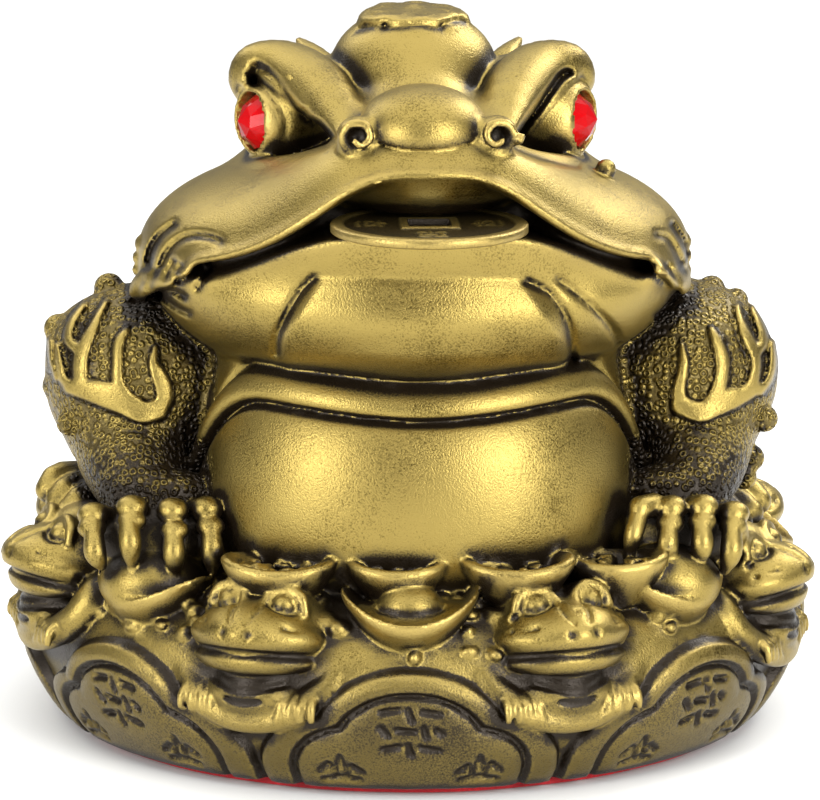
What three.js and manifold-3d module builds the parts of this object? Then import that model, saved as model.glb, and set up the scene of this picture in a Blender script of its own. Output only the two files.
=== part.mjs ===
// Money toad figure: one brass casting of a toad on a bowl-shaped base, two red eye gems,
// a coin resting in the mouth and a felt pad glued under the base.
import * as THREE from 'three';
import Module from 'manifold-3d';

const wasm = await Module();
wasm.setup();

// Driving sizes in millimetres, angles in degrees
const FIGURE_HEIGHT = 108;
const BASE_WIDTH = 118;
const BASE_DEPTH = 107.3;
const BASE_HEIGHT = 27;
const TOAD_TURN = 3;
const FIT_GAP = 0.3;
const FELT_THICKNESS = 0.8;
const FELT_INSET = 0.6;
const COIN_DIAMETER = 27;
const COIN_THICKNESS = 1.4;
const COIN_RIM = 1.8;
const COIN_HOLE = 5.6;
const COIN_TILT = 3;
const GEM_DIAMETER = 8;
const GEM_CROWN = 2.6;
const GEM_SEAT = 1.2;
const PETALS = 8;

// The toad is laid out in shares of its own height, x right, y back, z up: its seat on the base's top
// is at one height of that layout and the top of its crown at another
const TOAD_SEAT = 25.8;
const TOAD_TOP = 100.8;
const SHARE = (FIGURE_HEIGHT - BASE_HEIGHT) / (TOAD_TOP - TOAD_SEAT);

// The base and what sits on its edge are laid out in shares of the base's own width and height
const BASE_RADIUS = 54.6;
const BASE_TOP = 25;
const WIDE = BASE_WIDTH / (2 * BASE_RADIUS);
const TALL = BASE_HEIGHT / BASE_TOP;
const DEPTH = BASE_DEPTH / BASE_WIDTH;
const UNDERSIDE = (FELT_THICKNESS + FIT_GAP) / TALL;
const STEP = (2 * Math.PI) / PETALS;
const PETAL_RADIUS = 54;

const V = (x, y, z) => new THREE.Vector3(x, y, z);
const rad = THREE.MathUtils.degToRad;
const mix = (a, b, t) => a + (b - a) * t;

// Closed solid from triangle corners in millimetres, snapped to a fine grid so that equal corners meet
const GRAIN = 0.0005;

function welded(corners) {
  const keys = new Map();
  const coords = [];
  const number = corners.map((p) => {
    const snapped = p.toArray().map((c) => Math.round(c / GRAIN));
    const key = snapped.join();
    if (!keys.has(key)) {
      keys.set(key, keys.size);
      coords.push(...snapped.map((c) => c * GRAIN));
    }
    return keys.get(key);
  });
  const triangles = [];
  let volume = 0;
  for (let i = 0; i < number.length; i += 3) {
    const [a, b, c] = [number[i], number[i + 1], number[i + 2]];
    if (a === b || b === c || a === c) continue;
    triangles.push(a, b, c);
    volume += corners[i].dot(corners[i + 1].clone().cross(corners[i + 2]));
  }
  return new wasm.Manifold(new wasm.Mesh({
    numProp: 3,
    vertProperties: new Float32Array(coords),
    triVerts: new Uint32Array(volume > 0 ? triangles : triangles.reverse()),
  }));
}

// Solid of a geometry, each of its points moved by place to where it lies in millimetres
function solid(geometry, place) {
  const position = geometry.getAttribute('position');
  const order = geometry.index ? [...geometry.index.array] : [...Array(position.count).keys()];
  const corner = (i) => new THREE.Vector3().fromBufferAttribute(position, i);
  return welded(order.map((i) => place(corner(i))));
}

// Corners of a solid's triangles
function cornersOf(shape) {
  const { vertProperties, triVerts, numProp } = shape.getMesh();
  return [...triVerts].map((v) => new THREE.Vector3().fromArray(vertProperties, v * numProp));
}

const joined = (list) => wasm.Manifold.union(list);

// Turned form about the z axis from a profile of [radius, height] pairs
function turned(profile, segments) {
  const points = profile.map(([r, h]) => new THREE.Vector2(r, h));
  return new THREE.LatheGeometry(points, segments).rotateX(Math.PI / 2);
}

// Ball with its poles on the z axis
function ball(across, rings) {
  return new THREE.SphereGeometry(1, across, rings).rotateX(Math.PI / 2);
}

// Rounded limb along a smooth curve through the points, its radius changing from one to the next
function limb(points, radii, sides, steps, place) {
  const curve = new THREE.CatmullRomCurve3(points.map((p) => V(...p)));
  const radius = (t) => {
    const at = THREE.MathUtils.clamp(t, 0, 1) * (radii.length - 1);
    const i = Math.min(Math.floor(at), radii.length - 2);
    return mix(radii[i], radii[i + 1], at - i);
  };
  const profile = [[0, -0.8]];
  for (let i = 0; i <= steps; i++) profile.push([1, i / steps]);
  profile.push([0, 1.8]);
  const geometry = turned(profile, sides);
  const up = V(0.12, 0.21, 0.97).normalize();
  return solid(geometry, (p) => {
    const t = THREE.MathUtils.clamp(p.z, 0, 1);
    const along = curve.getTangent(t);
    const side = along.clone().cross(up).normalize();
    const top = side.clone().cross(along);
    const r = radius(t);
    const spot = curve.getPoint(t);
    spot.addScaledVector(along, (p.z - t) * r);
    spot.addScaledVector(side, p.x * r);
    spot.addScaledVector(top, p.y * r);
    return place(spot);
  });
}

// Ellipsoid at a centre, turned by angles about x, y and z before it is placed
function lump(centre, radii, across, rings, place, turn = [0, 0, 0]) {
  const spin = new THREE.Euler(...turn.map(rad));
  return solid(ball(across, rings), (p) => {
    p.multiply(V(...radii)).applyEuler(spin);
    return place(p.add(V(...centre)));
  });
}

// From the two layouts to millimetres; the toad sits slightly turned on the base
const onBase = (p) => p.multiply(V(WIDE, WIDE, TALL));
const onToad = (p) => {
  p.applyAxisAngle(V(0, 0, 1), rad(TOAD_TURN));
  return p.sub(V(0, 0, TOAD_SEAT)).multiplyScalar(SHARE).add(V(0, 0, BASE_HEIGHT));
};
const mirror = (p) => V(-p.x, p.y, p.z);
const bothSides = (make) => [make(onToad), make((p) => onToad(mirror(p)))];

// Base bowl: its wall as [radius, height] from the underside to the top
const BOWL = [
  [46.4, UNDERSIDE], [49.6, 5], [53.6, 12], [BASE_RADIUS, 15.5], [53.8, 18.5], [50.5, 22.6], [44, BASE_TOP],
];

function bowlRadius(z) {
  const k = BOWL.findIndex(([, h]) => h >= z);
  if (k < 0) return BOWL.at(-1)[0];
  if (k === 0) return BOWL[0][0];
  const [[r0, h0], [r1, h1]] = [BOWL[k - 1], BOWL[k]];
  return mix(r0, r1, (z - h0) / (h1 - h0));
}

// Point of the base at an angle from the front, a radius and a height
const around = (angle, radius, z) => V(radius * Math.sin(angle), -radius * DEPTH * Math.cos(angle), z);

// Cloud-edged outline of a lotus petal: its height at a distance from its middle line
function petalTop(x) {
  const arc = (middle, low, half, tall) => {
    return low + tall * Math.sqrt(Math.max(0, 1 - ((x - middle) / half) ** 2));
  };
  const top = Math.abs(x) < 13 ? arc(0, 7.8, 13, 10) : 0;
  const shoulder = Math.abs(x) < 19.5 ? arc(9.5 * Math.sign(x), 3.4, 10, 9) : 0;
  return Math.max(top, shoulder, UNDERSIDE + 0.6);
}

// Bowl with the petals on its wall: each a raised band, a sunk line and a raised panel
function base() {
  const rows = [
    (top, line) => [UNDERSIDE, 1],
    (top, line) => [line - 0.6, 1.7],
    (top, line) => [line + 0.2, 0.7],
    (top, line) => [top - 0.4, 1.6],
    (top, line) => [top + 0.2, -0.3],
    (top, line) => [mix(top, 24, 0.55), 0],
    () => [24.4, 0],
  ];
  const profile = [[0, -1], ...rows.map((row, i) => [1, i]), [0, rows.length]];
  return solid(turned(profile, PETALS * 10), (p) => {
    if (Math.hypot(p.x, p.y) < 0.5) return onBase(V(0, 0, p.z < 0 ? UNDERSIDE : BASE_TOP + 1));
    const angle = Math.atan2(p.x, -p.y);
    const x = (angle - STEP * Math.round(angle / STEP)) * PETAL_RADIUS;
    const top = petalTop(x);
    const line = Math.max(UNDERSIDE + 0.9, 5 + 0.74 * (petalTop(x / 0.74) - 5));
    const [height, out] = rows[Math.round(p.z)](top, Math.min(line, top - 1.2));
    const z = Math.max(height, UNDERSIDE + 0.15 * Math.round(p.z));
    return onBase(around(angle, bowlRadius(z) + out, z));
  });
}

// Place for what sits on the base at an angle: local x along the edge, local -y outwards
function seated(angle, radius) {
  const middle = around(angle, radius, 0);
  return (p) => onBase(p.applyAxisAngle(V(0, 0, 1), angle).add(middle));
}

// Boat-shaped ingot: a rim that rises to a horn at each end round a domed middle, plainer at the back
function ingot(angle) {
  const place = seated(angle, 48);
  const fine = Math.cos(angle) > -0.5;
  const dome = fine ? [[5.4, 22.9], [4.6, 25.6], [2.8, 27.6]] : [[5.4, 23.4]];
  const profile = [[0, 15], [5.2, 15], [8.8, 21.4], ...dome, [0, 28.2]];
  return solid(turned(profile, fine ? 10 : 8), (p) => {
    const rise = p.z > 20 && p.z < 24 ? 0.086 * p.x * p.x : 0;
    return place(V(p.x, 0.78 * p.y, p.z + rise));
  });
}

// Small toad crouching on the edge of the base: wide lips, folded throat, eyes and forelegs
function smallToad(angle, fine) {
  const place = seated(angle, 46.5);
  // Half width, reach to the front and height of each row from the belly to the brow
  const rows = fine
    ? [[6, 10.2, 13], [5.8, 9.8, 18.6], [7, 12.6, 20.6], [7.6, 13.4, 24.2], [4.8, 7, 29]]
    : [[6.4, 10, 12], [7.4, 12.4, 22.6], [5, 8, 28.6]];
  const profile = [[0, 0], ...rows.map((row, i) => [1, i]), [0, rows.length - 1]];
  const shape = solid(turned(profile, fine ? 9 : 7), (p) => {
    if (Math.hypot(p.x, p.y) < 0.5) return place(V(0, 1, p.z < 1 ? rows[0][2] : 31));
    const [half, reach, height] = rows[Math.round(p.z)];
    return place(V(half * p.x, p.y < 0 ? reach * p.y : 1.4 * half * p.y, height));
  });
  const side = (s) => [
    lump([3.2 * s, -4.6, 28], [2.2, 2.4, 2.2], 5, 3, place),
    limb([[7 * s, -2, 19.4], [7.6 * s, -8, 14.8]], [2.6, 1.6], 4, 1, place),
  ];
  return fine ? [shape, ...side(1), ...side(-1)] : [shape];
}

// Bowl of nuggets pushed against the belly
function nuggetBowl(x, y, z, width) {
  const profile = [[0, -5], [3.6, -5], [width, 0.6], [0, 1.4]];
  return solid(turned(profile, 8), (p) => {
    return onBase(V(x + p.x, y + p.y * 0.7, z + p.z + 0.012 * p.x * p.x));
  });
}

// Body: a turned form whose width and depth change with height, the belly framed by a raised band
const WIDTHS = [[18, 30], [30, 32], [42, 31.4], [52, 30], [62, 28], [72, 25], [80, 19], [86, 10]];
const BACKS = [[18, 37], [30, 41], [42, 41.5], [52, 39], [62, 34.6], [72, 28], [80, 21], [86, 12]];
const FRONTS = [[18, 33], [26, 37], [34, 39.6], [44, 39.4], [52, 36], [62, 28], [72, 24], [86, 10]];

function along(table, z) {
  const k = Math.max(1, table.findIndex(([h]) => h >= z));
  const [[h0, v0], [h1, v1]] = z > table.at(-1)[0] ? table.slice(-2) : [table[k - 1], table[k]];
  return mix(v0, v1, THREE.MathUtils.clamp((z - h0) / (h1 - h0), 0, 1));
}

// Height of the band at an angle from the front: level across the chest, falling at the sides
function bandHeight(angle) {
  const t = THREE.MathUtils.clamp((Math.abs(angle) - rad(34)) / rad(32), 0, 1);
  return 51.6 + 1.2 * Math.min(1, Math.abs(angle) / rad(30)) - 22 * t ** 2.2;
}

function bodyPoint(angle, z, out) {
  const width = along(WIDTHS, z) + out;
  const deep = along(Math.abs(angle) < Math.PI / 2 ? FRONTS : BACKS, z) + out;
  const power = Math.abs(angle) < Math.PI / 2 ? 2.3 : 2;
  const [s, c] = [Math.sin(angle), Math.cos(angle)];
  const r = (Math.abs(s / width) ** power + Math.abs(c / deep) ** power) ** (-1 / power);
  return V(r * s, -2 - r * c, z);
}

function body() {
  const rows = [
    () => [18, 0],
    (band) => [mix(22, band - 3, 0.16), 0],
    (band) => [mix(22, band - 3, 0.54), 1.6],
    (band) => [mix(22, band - 3, 0.9), 0.9],
    (band) => [band - 2.6, -1.6],
    (band) => [band - 1.6, 1.8],
    (band) => [band + 1.4, 2],
    (band) => [band + 3, -0.6],
    (band) => [mix(band + 3, 62, 0.5), 0],
    () => [70, 0],
    () => [86, 0],
  ];
  const profile = [[0, -1], ...rows.map((row, i) => [1, i]), [0, rows.length]];
  return solid(turned(profile, 18), (p) => {
    if (Math.hypot(p.x, p.y) < 0.5) return onToad(V(0, 0, p.z < 0 ? 18 : 90));
    const turn = Math.atan2(p.x, -p.y);
    const angle = turn - 0.25 * Math.sin(turn);
    const [z, out] = rows[Math.round(p.z)](bandHeight(angle));
    const front = THREE.MathUtils.smoothstep(rad(84) - Math.abs(angle), 0, rad(20));
    return onToad(bodyPoint(angle, z, out * front));
  });
}

// Warts in rows down the back
function backWarts() {
  return [68, 52].flatMap((z, row) => [-1, 0, 1].map((column) => {
    const p = bodyPoint(Math.PI - column * rad(26 + 4 * row), z, -0.4);
    return lump(p.toArray(), [2.8, 2.8, 2.8], 4, 3, onToad);
  }));
}

// Mouth lines: height of the upper and the lower lip at a distance from the middle
const cornerDrop = (x) => 5 * THREE.MathUtils.smoothstep(Math.abs(x), 29, 36);
const upperLip = (x) => 66.6 + 14.7 / (1 + Math.abs(x / 17.5) ** 3) - cornerDrop(x);
const lowerLip = (x) => 62.4 + 12 / (1 + (x / 24) ** 4);

// Upper head: from the arched lip over the cheeks to the top of the head
function upperHead() {
  const section = [
    [0, -1], [0.8, -1], [0.96, -1], [1, 0.12], [0.98, 0.32], [0.9, 0.56], [0.76, 0.8], [0.5, 0.96], [0, 1],
  ];
  return solid(turned(section, 24), (p) => {
    const share = Math.hypot(p.x, p.y);
    const front = share > 0 ? Math.max(0, -p.y / share) : 0;
    const [x, y] = [38 * p.x, 36 * p.y - 14];
    const back = THREE.MathUtils.smoothstep(y, -6, 14);
    const lip = mix(upperLip(x), 58, back);
    const top = 84 + 6 * front ** 5 * share;
    const palate = mix(lip + 2.5, 74, 1 - share);
    const under = mix(palate, lip, THREE.MathUtils.smoothstep(share, 0.8, 0.96));
    return onToad(V(x, y, p.z < 0 ? under : mix(lip, top, p.z)));
  });
}

// Lower jaw: from the lower lip round the broad chin
function lowerJaw() {
  const section = [[0, 1], [0.95, 1], [1, 0.84], [0.98, 0.44], [0.86, 0.06], [0, 0]];
  return solid(turned(section, 22), (p) => {
    const share = Math.hypot(p.x, p.y);
    const [x, y] = [36.8 * p.x, 34 * p.y - 13.5];
    const back = THREE.MathUtils.smoothstep(y, -6, 14);
    const chin = share > 0 ? Math.max(0, -p.y / share) ** 4 : 0;
    const lip = mix(lowerLip(x), 60, back);
    return onToad(V(x, y, mix(54.6 + 10 * chin, lip, p.z)));
  });
}

// Throat sac, tongue root that closes the mouth, forehead and nose
function headMass() {
  return [
    lump([0, -6, 70], [26, 24, 14], 8, 4, onToad),
    lump([0, -14, 82], [15, 20, 9], 9, 5, onToad),
    lump([0, -26.5, 60.8], [20, 18.6, 9], 12, 6, onToad, [8, 0, 0]),
    lump([0, -39, 88.2], [7, 8.6, 4.6], 9, 5, onToad, [14, 0, 0]),
  ];
}

// Crown: a bun that widens upwards, with a round notched relief on top
function crown() {
  const profile = [
    [0, -12], [8, -12], [8.8, -6], [10.2, -1], [9.6, 1.8], [7.6, 3.2], [6.6, 4.7], [4, 5.3], [0, 5.7],
  ];
  return solid(turned(profile, 14), (p) => {
    const notch = Math.abs(p.z - 4.7) < 0.2 ? 0.7 * Math.cos(7 * Math.atan2(p.y, p.x)) : 0;
    p.z += notch;
    return onToad(p.applyAxisAngle(V(1, 0, 0), rad(7)).add(V(0, -15, 95)));
  });
}

const GEM_POINT = V(-21.6, -19.6, 86.2);
const GEM_OUT = V(-0.93, -0.36, 0.06).normalize();

// One eye: brow roll, eyeball, lower lid, ear behind and nostril in front
function eye(place) {
  const brow = [[-21, -12, 88.8], [-21.8, -15.4, 92.4], [-17.8, -18, 94], [-13, -26, 90.6], [-9, -35, 86]];
  const lid = [[-23.4, -12, 80], [-21.6, -22, 80.2], [-16, -29.5, 81.4], [-9.6, -34.6, 84]];
  return [
    limb(brow, [2, 2.8, 3.7, 3.8, 2.6], 5, 5, place),
    lump([-15, -14.6, 86.6], [9, 12, 8], 7, 5, place, [0, 0, 20]),
    limb(lid, [1.6, 2, 2, 1.6], 4, 2, place),
    limb([[-10, -6, 90], [-15.8, 2, 95.2]], [4, 1], 4, 1, place),
    lump([-8.7, -43, 86.4], [2.1, 2.4, 2.1], 6, 3, place),
  ];
}

// Throat lobe, mouth-corner fold and cheek warts of one side
function cheek(place) {
  return [
    lump([-22.6, -26, 58.4], [7, 12, 7.4], 7, 4, place, [0, 0, -22]),
    limb([[-29, -30.6, 66], [-33.4, -28.6, 65.4], [-36.6, -22, 64]], [1.8, 2.4, 1.7], 4, 2, place),
    lump([-36.4, -14, 70.6], [2.2, 2.2, 2], 4, 3, place),
  ];
}

// Flame tongues of one arm, each a wavy raised strip over the round upper arm
const TONGUES = [
  [[-42.2, -12.6, 61.2], [-45.7, -17.2, 55.6], [-45.2, -19.2, 49.6]],
  [[-39.8, -17.6, 58.8], [-41.4, -21.8, 48], [-38, -22.6, 44.8], [-34.4, -22, 47.6], [-35.6, -21, 55]],
];
const ARM_WARTS = [[-41.4, -7, 61.2], [-48.8, -7.6, 56.6], [-49.6, -9, 46.2]];

function arm(place) {
  return [
    lump([-37.6, -8, 49.4], [13.8, 13.6, 13.6], 11, 6, place),
    limb([[-38, -14, 41], [-35.4, -29, 35]], [9.4, 6.6], 6, 1, place),
    ...TONGUES.map((line) => limb(line, [0.8, 1.4, 1.4, 0.8], 3, line.length - 1, place)),
    ...ARM_WARTS.map((at) => lump(at, [2.1, 2.1, 2], 4, 3, place)),
  ];
}

// Hand on the ingot: four fingers from knuckle to claw
function hand(place) {
  return [-28.4, -33, -37.8, -42.2].map((x, i) => {
    const y = [-31.4, -32.8, -32, -29.4][i];
    const knuckle = [x, y - 1, 35.5];
    const claw = [[x, y - 4.8, 31.1], [x + 0.3, y - 5.2, 27.5]];
    return limb([[mix(x, -35.4, 0.5), -27, 34.5], knuckle, ...claw], [2.6, 2.5, 1.6, 0.5], 4, 3, place);
  });
}

// Folded hind leg: the round thigh and the foot in front of it
function hindLeg(place) {
  return [
    lump([-31, 16, 42], [13, 19, 14], 8, 4, place, [14, 0, -14]),
    limb([[-32, 14, 31], [-38.6, 0, 30]], [5, 3.6], 4, 1, place),
  ];
}

// Coin: a disc with a square hole and raised rims, lying in the mouth
const COIN_CENTRE = V(0, -46.6, lowerLip(0) + (COIN_THICKNESS / 2 + FIT_GAP) / SHARE);
const coinPlace = (p) => {
  p.applyAxisAngle(V(1, 0, 0), rad(COIN_TILT));
  return onToad(p.multiplyScalar(1 / SHARE).add(COIN_CENTRE));
};

function coin() {
  const [r, t] = [COIN_DIAMETER / 2, COIN_THICKNESS / 2];
  const [rim, sunk] = [r - COIN_RIM, t * 0.6];
  const profile = [[0, -t], [r, -t], [r, t], [rim, t], [rim, sunk], [0, sunk]];
  const disc = solid(turned(profile, 24), coinPlace);
  const square = (side, tall) => new THREE.BoxGeometry(side, side, tall);
  const frame = solid(square(COIN_HOLE + COIN_RIM, t).translate(0, 0, t / 2), coinPlace);
  const hole = solid(square(COIN_HOLE, 4 * t), coinPlace);
  return disc.add(frame).subtract(hole);
}

function coinRoom() {
  const [r, t] = [COIN_DIAMETER / 2 + FIT_GAP, COIN_THICKNESS / 2 + FIT_GAP];
  return solid(new THREE.CylinderGeometry(r, r, 2 * t, 24).rotateX(Math.PI / 2), coinPlace);
}

// Cut gem: faceted crown outside, short girdle and back inside its seat
const gemPlace = (place) => {
  const turn = new THREE.Quaternion().setFromUnitVectors(V(0, 0, 1), GEM_OUT);
  return (p) => place(p.multiplyScalar(1 / SHARE).applyQuaternion(turn).add(GEM_POINT));
};

function gem(place) {
  const r = GEM_DIAMETER / 2;
  const profile = [[0, -GEM_SEAT], [r * 0.8, -GEM_SEAT], [r, 0], [r * 0.86, GEM_CROWN * 0.55],
    [r * 0.45, GEM_CROWN * 0.92], [0, GEM_CROWN]];
  return solid(turned(profile, 8), gemPlace(place));
}

function gemSeat(place) {
  const r = GEM_DIAMETER / 2 + FIT_GAP;
  const deep = GEM_SEAT + FIT_GAP;
  const profile = [[0, -deep], [r * 0.84, -deep], [r, -FIT_GAP], [r, 6], [0, 6]];
  return solid(turned(profile, 8), gemPlace(place));
}

// Socket ring that holds a gem
function gemRing(place) {
  const r = GEM_DIAMETER / 2 + FIT_GAP;
  const profile = [[0, -5], [r * 0.9, -5], [r + 0.9, 0.4], [0, 0.4]];
  return solid(turned(profile, 8), gemPlace(place));
}

// Felt pad: the outline of the base's foot, set in a little
function feltPad() {
  const foot = BOWL[0][0] * WIDE;
  const [across, deep] = [foot - FELT_INSET, foot * DEPTH - FELT_INSET];
  return solid(turned([[0, 0], [1, 0], [1, 1], [0, 1]], 32), (p) => {
    return p.multiply(V(across, deep, FELT_THICKNESS));
  });
}

function casting() {
  const seats = [...Array(PETALS).keys()];
  const shapes = [
    base(),
    ...seats.map((i) => ingot(i * STEP)),
    ...seats.flatMap((i) => smallToad((i + 0.5) * STEP, Math.cos((i + 0.5) * STEP) > 0)),
    nuggetBowl(-17, -40, 28.2, 7.4),
    nuggetBowl(-3, -42, 27.8, 6.6),
    nuggetBowl(12.5, -41, 28.6, 7.4),
    nuggetBowl(26.4, -36, 28.6, 6.6),
    upperHead(),
    lowerJaw(),
    ...headMass(),
    crown(),
    body(),
    ...backWarts(),
    ...[eye, cheek, arm, hand, hindLeg, gemRing].flatMap((make) => bothSides(make).flat()),
  ];
  const cast = joined(shapes).subtract(joined([coinRoom(), ...bothSides(gemSeat)]));
  // Closed hollows left between the joined forms are filled
  return joined(welded(cornersOf(cast)).decompose().filter((shell) => shell.volume() > 0));
}

const brass = () => new THREE.MeshStandardMaterial({ color: 0x9a7d3c, roughness: 0.42, metalness: 1 });
const gold = () => new THREE.MeshStandardMaterial({ color: 0xa98b48, roughness: 0.4, metalness: 1 });
const glass = () => new THREE.MeshStandardMaterial({ color: 0xc8101c, roughness: 0.08, metalness: 0 });
const felt = () => new THREE.MeshStandardMaterial({ color: 0xb01420, roughness: 0.95, metalness: 0 });

// Named mesh of a solid
function node(name, shape, material) {
  const geometry = new THREE.BufferGeometry().setFromPoints(cornersOf(shape));
  geometry.computeVertexNormals();
  const mesh = new THREE.Mesh(geometry, material);
  mesh.name = name;
  return mesh;
}

const [leftGem, rightGem] = bothSides(gem);
const group = new THREE.Group();
group.add(
  node('toad_casting', casting(), brass()),
  node('eye_gem_left', leftGem, glass()),
  node('eye_gem_right', rightGem, glass()),
  node('mouth_coin', coin(), gold()),
  node('felt_pad', feltPad(), felt()),
);

export default group;
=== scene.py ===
import math
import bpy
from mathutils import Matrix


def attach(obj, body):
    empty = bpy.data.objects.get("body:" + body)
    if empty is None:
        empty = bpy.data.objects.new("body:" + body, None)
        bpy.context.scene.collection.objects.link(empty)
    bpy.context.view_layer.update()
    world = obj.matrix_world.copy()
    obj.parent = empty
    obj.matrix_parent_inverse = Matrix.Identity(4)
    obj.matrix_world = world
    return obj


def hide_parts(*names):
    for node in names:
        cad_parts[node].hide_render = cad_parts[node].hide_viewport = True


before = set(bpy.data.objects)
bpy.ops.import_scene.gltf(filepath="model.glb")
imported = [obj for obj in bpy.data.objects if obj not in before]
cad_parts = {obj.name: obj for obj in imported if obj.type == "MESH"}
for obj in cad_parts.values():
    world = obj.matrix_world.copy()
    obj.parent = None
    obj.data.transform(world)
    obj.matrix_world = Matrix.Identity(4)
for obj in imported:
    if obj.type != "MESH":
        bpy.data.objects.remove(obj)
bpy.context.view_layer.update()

from concurrent.futures import ThreadPoolExecutor

import bmesh
import bpy
import numpy as np
from mathutils import Euler, Vector

# Toad casting
# The toad, the ring of ingots and small toads, the nugget bowls and the base are one hollow brass casting.
# It was modelled in wax, cast in sand, darkened all over and rubbed bright again on what stands out.
# It is carved here as one field of distances to its surface, which is then meshed; lengths are in shares
SHARE = 0.00108
FAR = 9.0


def smooth_union(a, b, k):
    """Smaller of two distances, rounded over a width k where they are about the same."""
    h = np.clip(0.5 + 0.5 * (b - a) / k, 0, 1)
    return b + h * (a - b) - k * h * (1 - h)


def smoothstep(x, low, high):
    t = np.clip((x - low) / (high - low), 0, 1)
    return t * t * (3 - 2 * t)


def column(values):
    return np.array(values, np.float32).reshape(3, 1, 1)


def spin(turn):
    return np.array(Euler([math.radians(a) for a in turn]).to_matrix(), np.float32)


def ball(centre, radii, turn=(0, 0, 0)):
    """Ellipsoid, as its distance function and the box that it fits in."""
    if isinstance(radii, (int, float)):
        radii = (radii,) * 3
    back = spin(turn).T
    reach = max(radii)
    r = column(radii)

    def distance(p):
        q = p - column(centre)
        if any(turn):
            q = np.tensordot(back, q, axes=(1, 0))
        q = q / r
        a = np.sqrt((q * q).sum(0))
        q = q / r
        return a * (a - 1) / np.maximum(np.sqrt((q * q).sum(0)), 1e-5)

    c = np.array(centre, np.float32)
    return distance, c - reach, c + reach


def rounded(points, parts):
    """Smooth line through the points, each stretch in that many parts. A radius goes along as a column."""
    line = np.array(points, float)
    ends = np.vstack([2 * line[0] - line[1], line, 2 * line[-1] - line[-2]])
    made = []
    for i in range(1, len(ends) - 2):
        a, b, c, d = ends[i - 1 : i + 3]
        for t in np.arange(parts) / parts:
            bend = (2 * a - 5 * b + 4 * c - d) * t**2 + (3 * b - a - 3 * c + d) * t**3
            made.append(0.5 * (2 * b + (c - a) * t + bend))
    return np.array(made + [line[-1]], np.float32)


def cord(points, radii=0.0, parts=4):
    """Round strand along a smooth line, its radius changing from point to point."""
    if isinstance(radii, (int, float)):
        radii = [radii] * len(points)
    stops = np.interp(np.linspace(0, 1, len(points)), np.linspace(0, 1, len(radii)), radii)
    line = rounded([[*p, r] for p, r in zip(points, stops)], parts)

    def distance(p):
        best = None
        for a, b in zip(line[:-1], line[1:]):
            ab = b - a
            q = p - column(a[:3])
            length = float(ab[:3] @ ab[:3]) + 1e-9
            h = np.clip((q[0] * ab[0] + q[1] * ab[1] + q[2] * ab[2]) / length, 0, 1)
            x, y, z = q[0] - h * ab[0], q[1] - h * ab[1], q[2] - h * ab[2]
            d = np.sqrt(x * x + y * y + z * z) - (a[3] + h * ab[3])
            best = d if best is None else np.minimum(best, d)
        return best

    reach = float(max(radii))
    return distance, line[:, :3].min(0) - reach, line[:, :3].max(0) + reach


def within(u, w, outline):
    """Distance in the plane to a closed outline, below zero inside it."""
    best = np.full(u.shape, 1e6, np.float32)
    inside = np.zeros(u.shape, bool)
    for (u0, w0), (u1, w1) in zip(outline, np.roll(outline, -1, axis=0)):
        du, dw = u1 - u0, w1 - w0
        h = np.clip(((u - u0) * du + (w - w0) * dw) / (du * du + dw * dw + 1e-9), 0, 1)
        best = np.minimum(best, (u - u0 - h * du) ** 2 + (w - w0 - h * dw) ** 2)
        if abs(dw) > 1e-6:
            inside ^= ((w0 <= w) != (w1 <= w)) & (u < u0 + (w - w0) * du / dw)
    return np.where(inside, -1, 1) * np.sqrt(best)


def turned(profile, centre=(0, 0, 0), round_off=0.0, shape=None):
    """Turned form about a vertical axis from a closed outline of [radius, height] points."""
    outline = np.array(profile, np.float32)

    def distance(p):
        q = p - column(centre)
        if shape:
            q = shape(q)
        return within(np.hypot(q[0], q[1]), q[2], outline) - round_off

    c = np.array(centre, np.float32)
    reach = outline[:, 0].max() + round_off
    low = np.array([-reach, -reach, outline[:, 1].min() - round_off], np.float32)
    high = np.array([reach, reach, outline[:, 1].max() + round_off], np.float32)
    return distance, c + low, c + high


def field(function, low, high):
    """Form given by its own distance function, and the box that it acts in."""
    return function, np.array(low, np.float32), np.array(high, np.float32)


# What is drawn on the toad's front is given as it looks from the camera, on an upright plane ahead of the
# middle. The toad stands turned on its base and a little sunk into it
TOAD_TURN = 3
TOAD_SINK = 0.8
EYE_AWAY = 437.5
EYE_HIGH = 125.6
PLANE = -20
TURN_COS = math.cos(math.radians(TOAD_TURN))
TURN_SIN = math.sin(math.radians(TOAD_TURN))


def seen(p):
    """Where points of the toad show on the drawing plane."""
    x = p[0] * TURN_COS - p[1] * TURN_SIN
    y = p[0] * TURN_SIN + p[1] * TURN_COS
    t = (EYE_AWAY + PLANE) / (EYE_AWAY + y)
    return x * t, EYE_HIGH + (p[2] - EYE_HIGH) * t


def drawn(points, radii=0.0, back=-6, parts=4):
    """Strand drawn on the front: its distance is the one that is seen, whatever lies how far behind it."""
    if isinstance(radii, (int, float)):
        radii = [radii] * len(points)
    line = rounded([[*p, r] for p, r in zip(points, radii)], parts)

    def distance(p):
        u, w = seen(p)
        best = None
        for a, b in zip(line[:-1], line[1:]):
            du, dw = b[0] - a[0], b[1] - a[1]
            h = np.clip(((u - a[0]) * du + (w - a[1]) * dw) / (du * du + dw * dw + 1e-9), 0, 1)
            d = np.hypot(u - a[0] - h * du, w - a[1] - h * dw) - a[2] - h * (b[2] - a[2])
            best = d if best is None else np.minimum(best, d)
        return best + np.maximum(p[1] - back, 0)

    reach = float(max(radii))
    low, high = line[:, :2].min(0) - reach, line[:, :2].max(0) + reach
    return field(distance, (low[0] - 5, -52, low[1] - 3), (high[0] + 5, back + reach, high[1] + 7))


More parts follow.
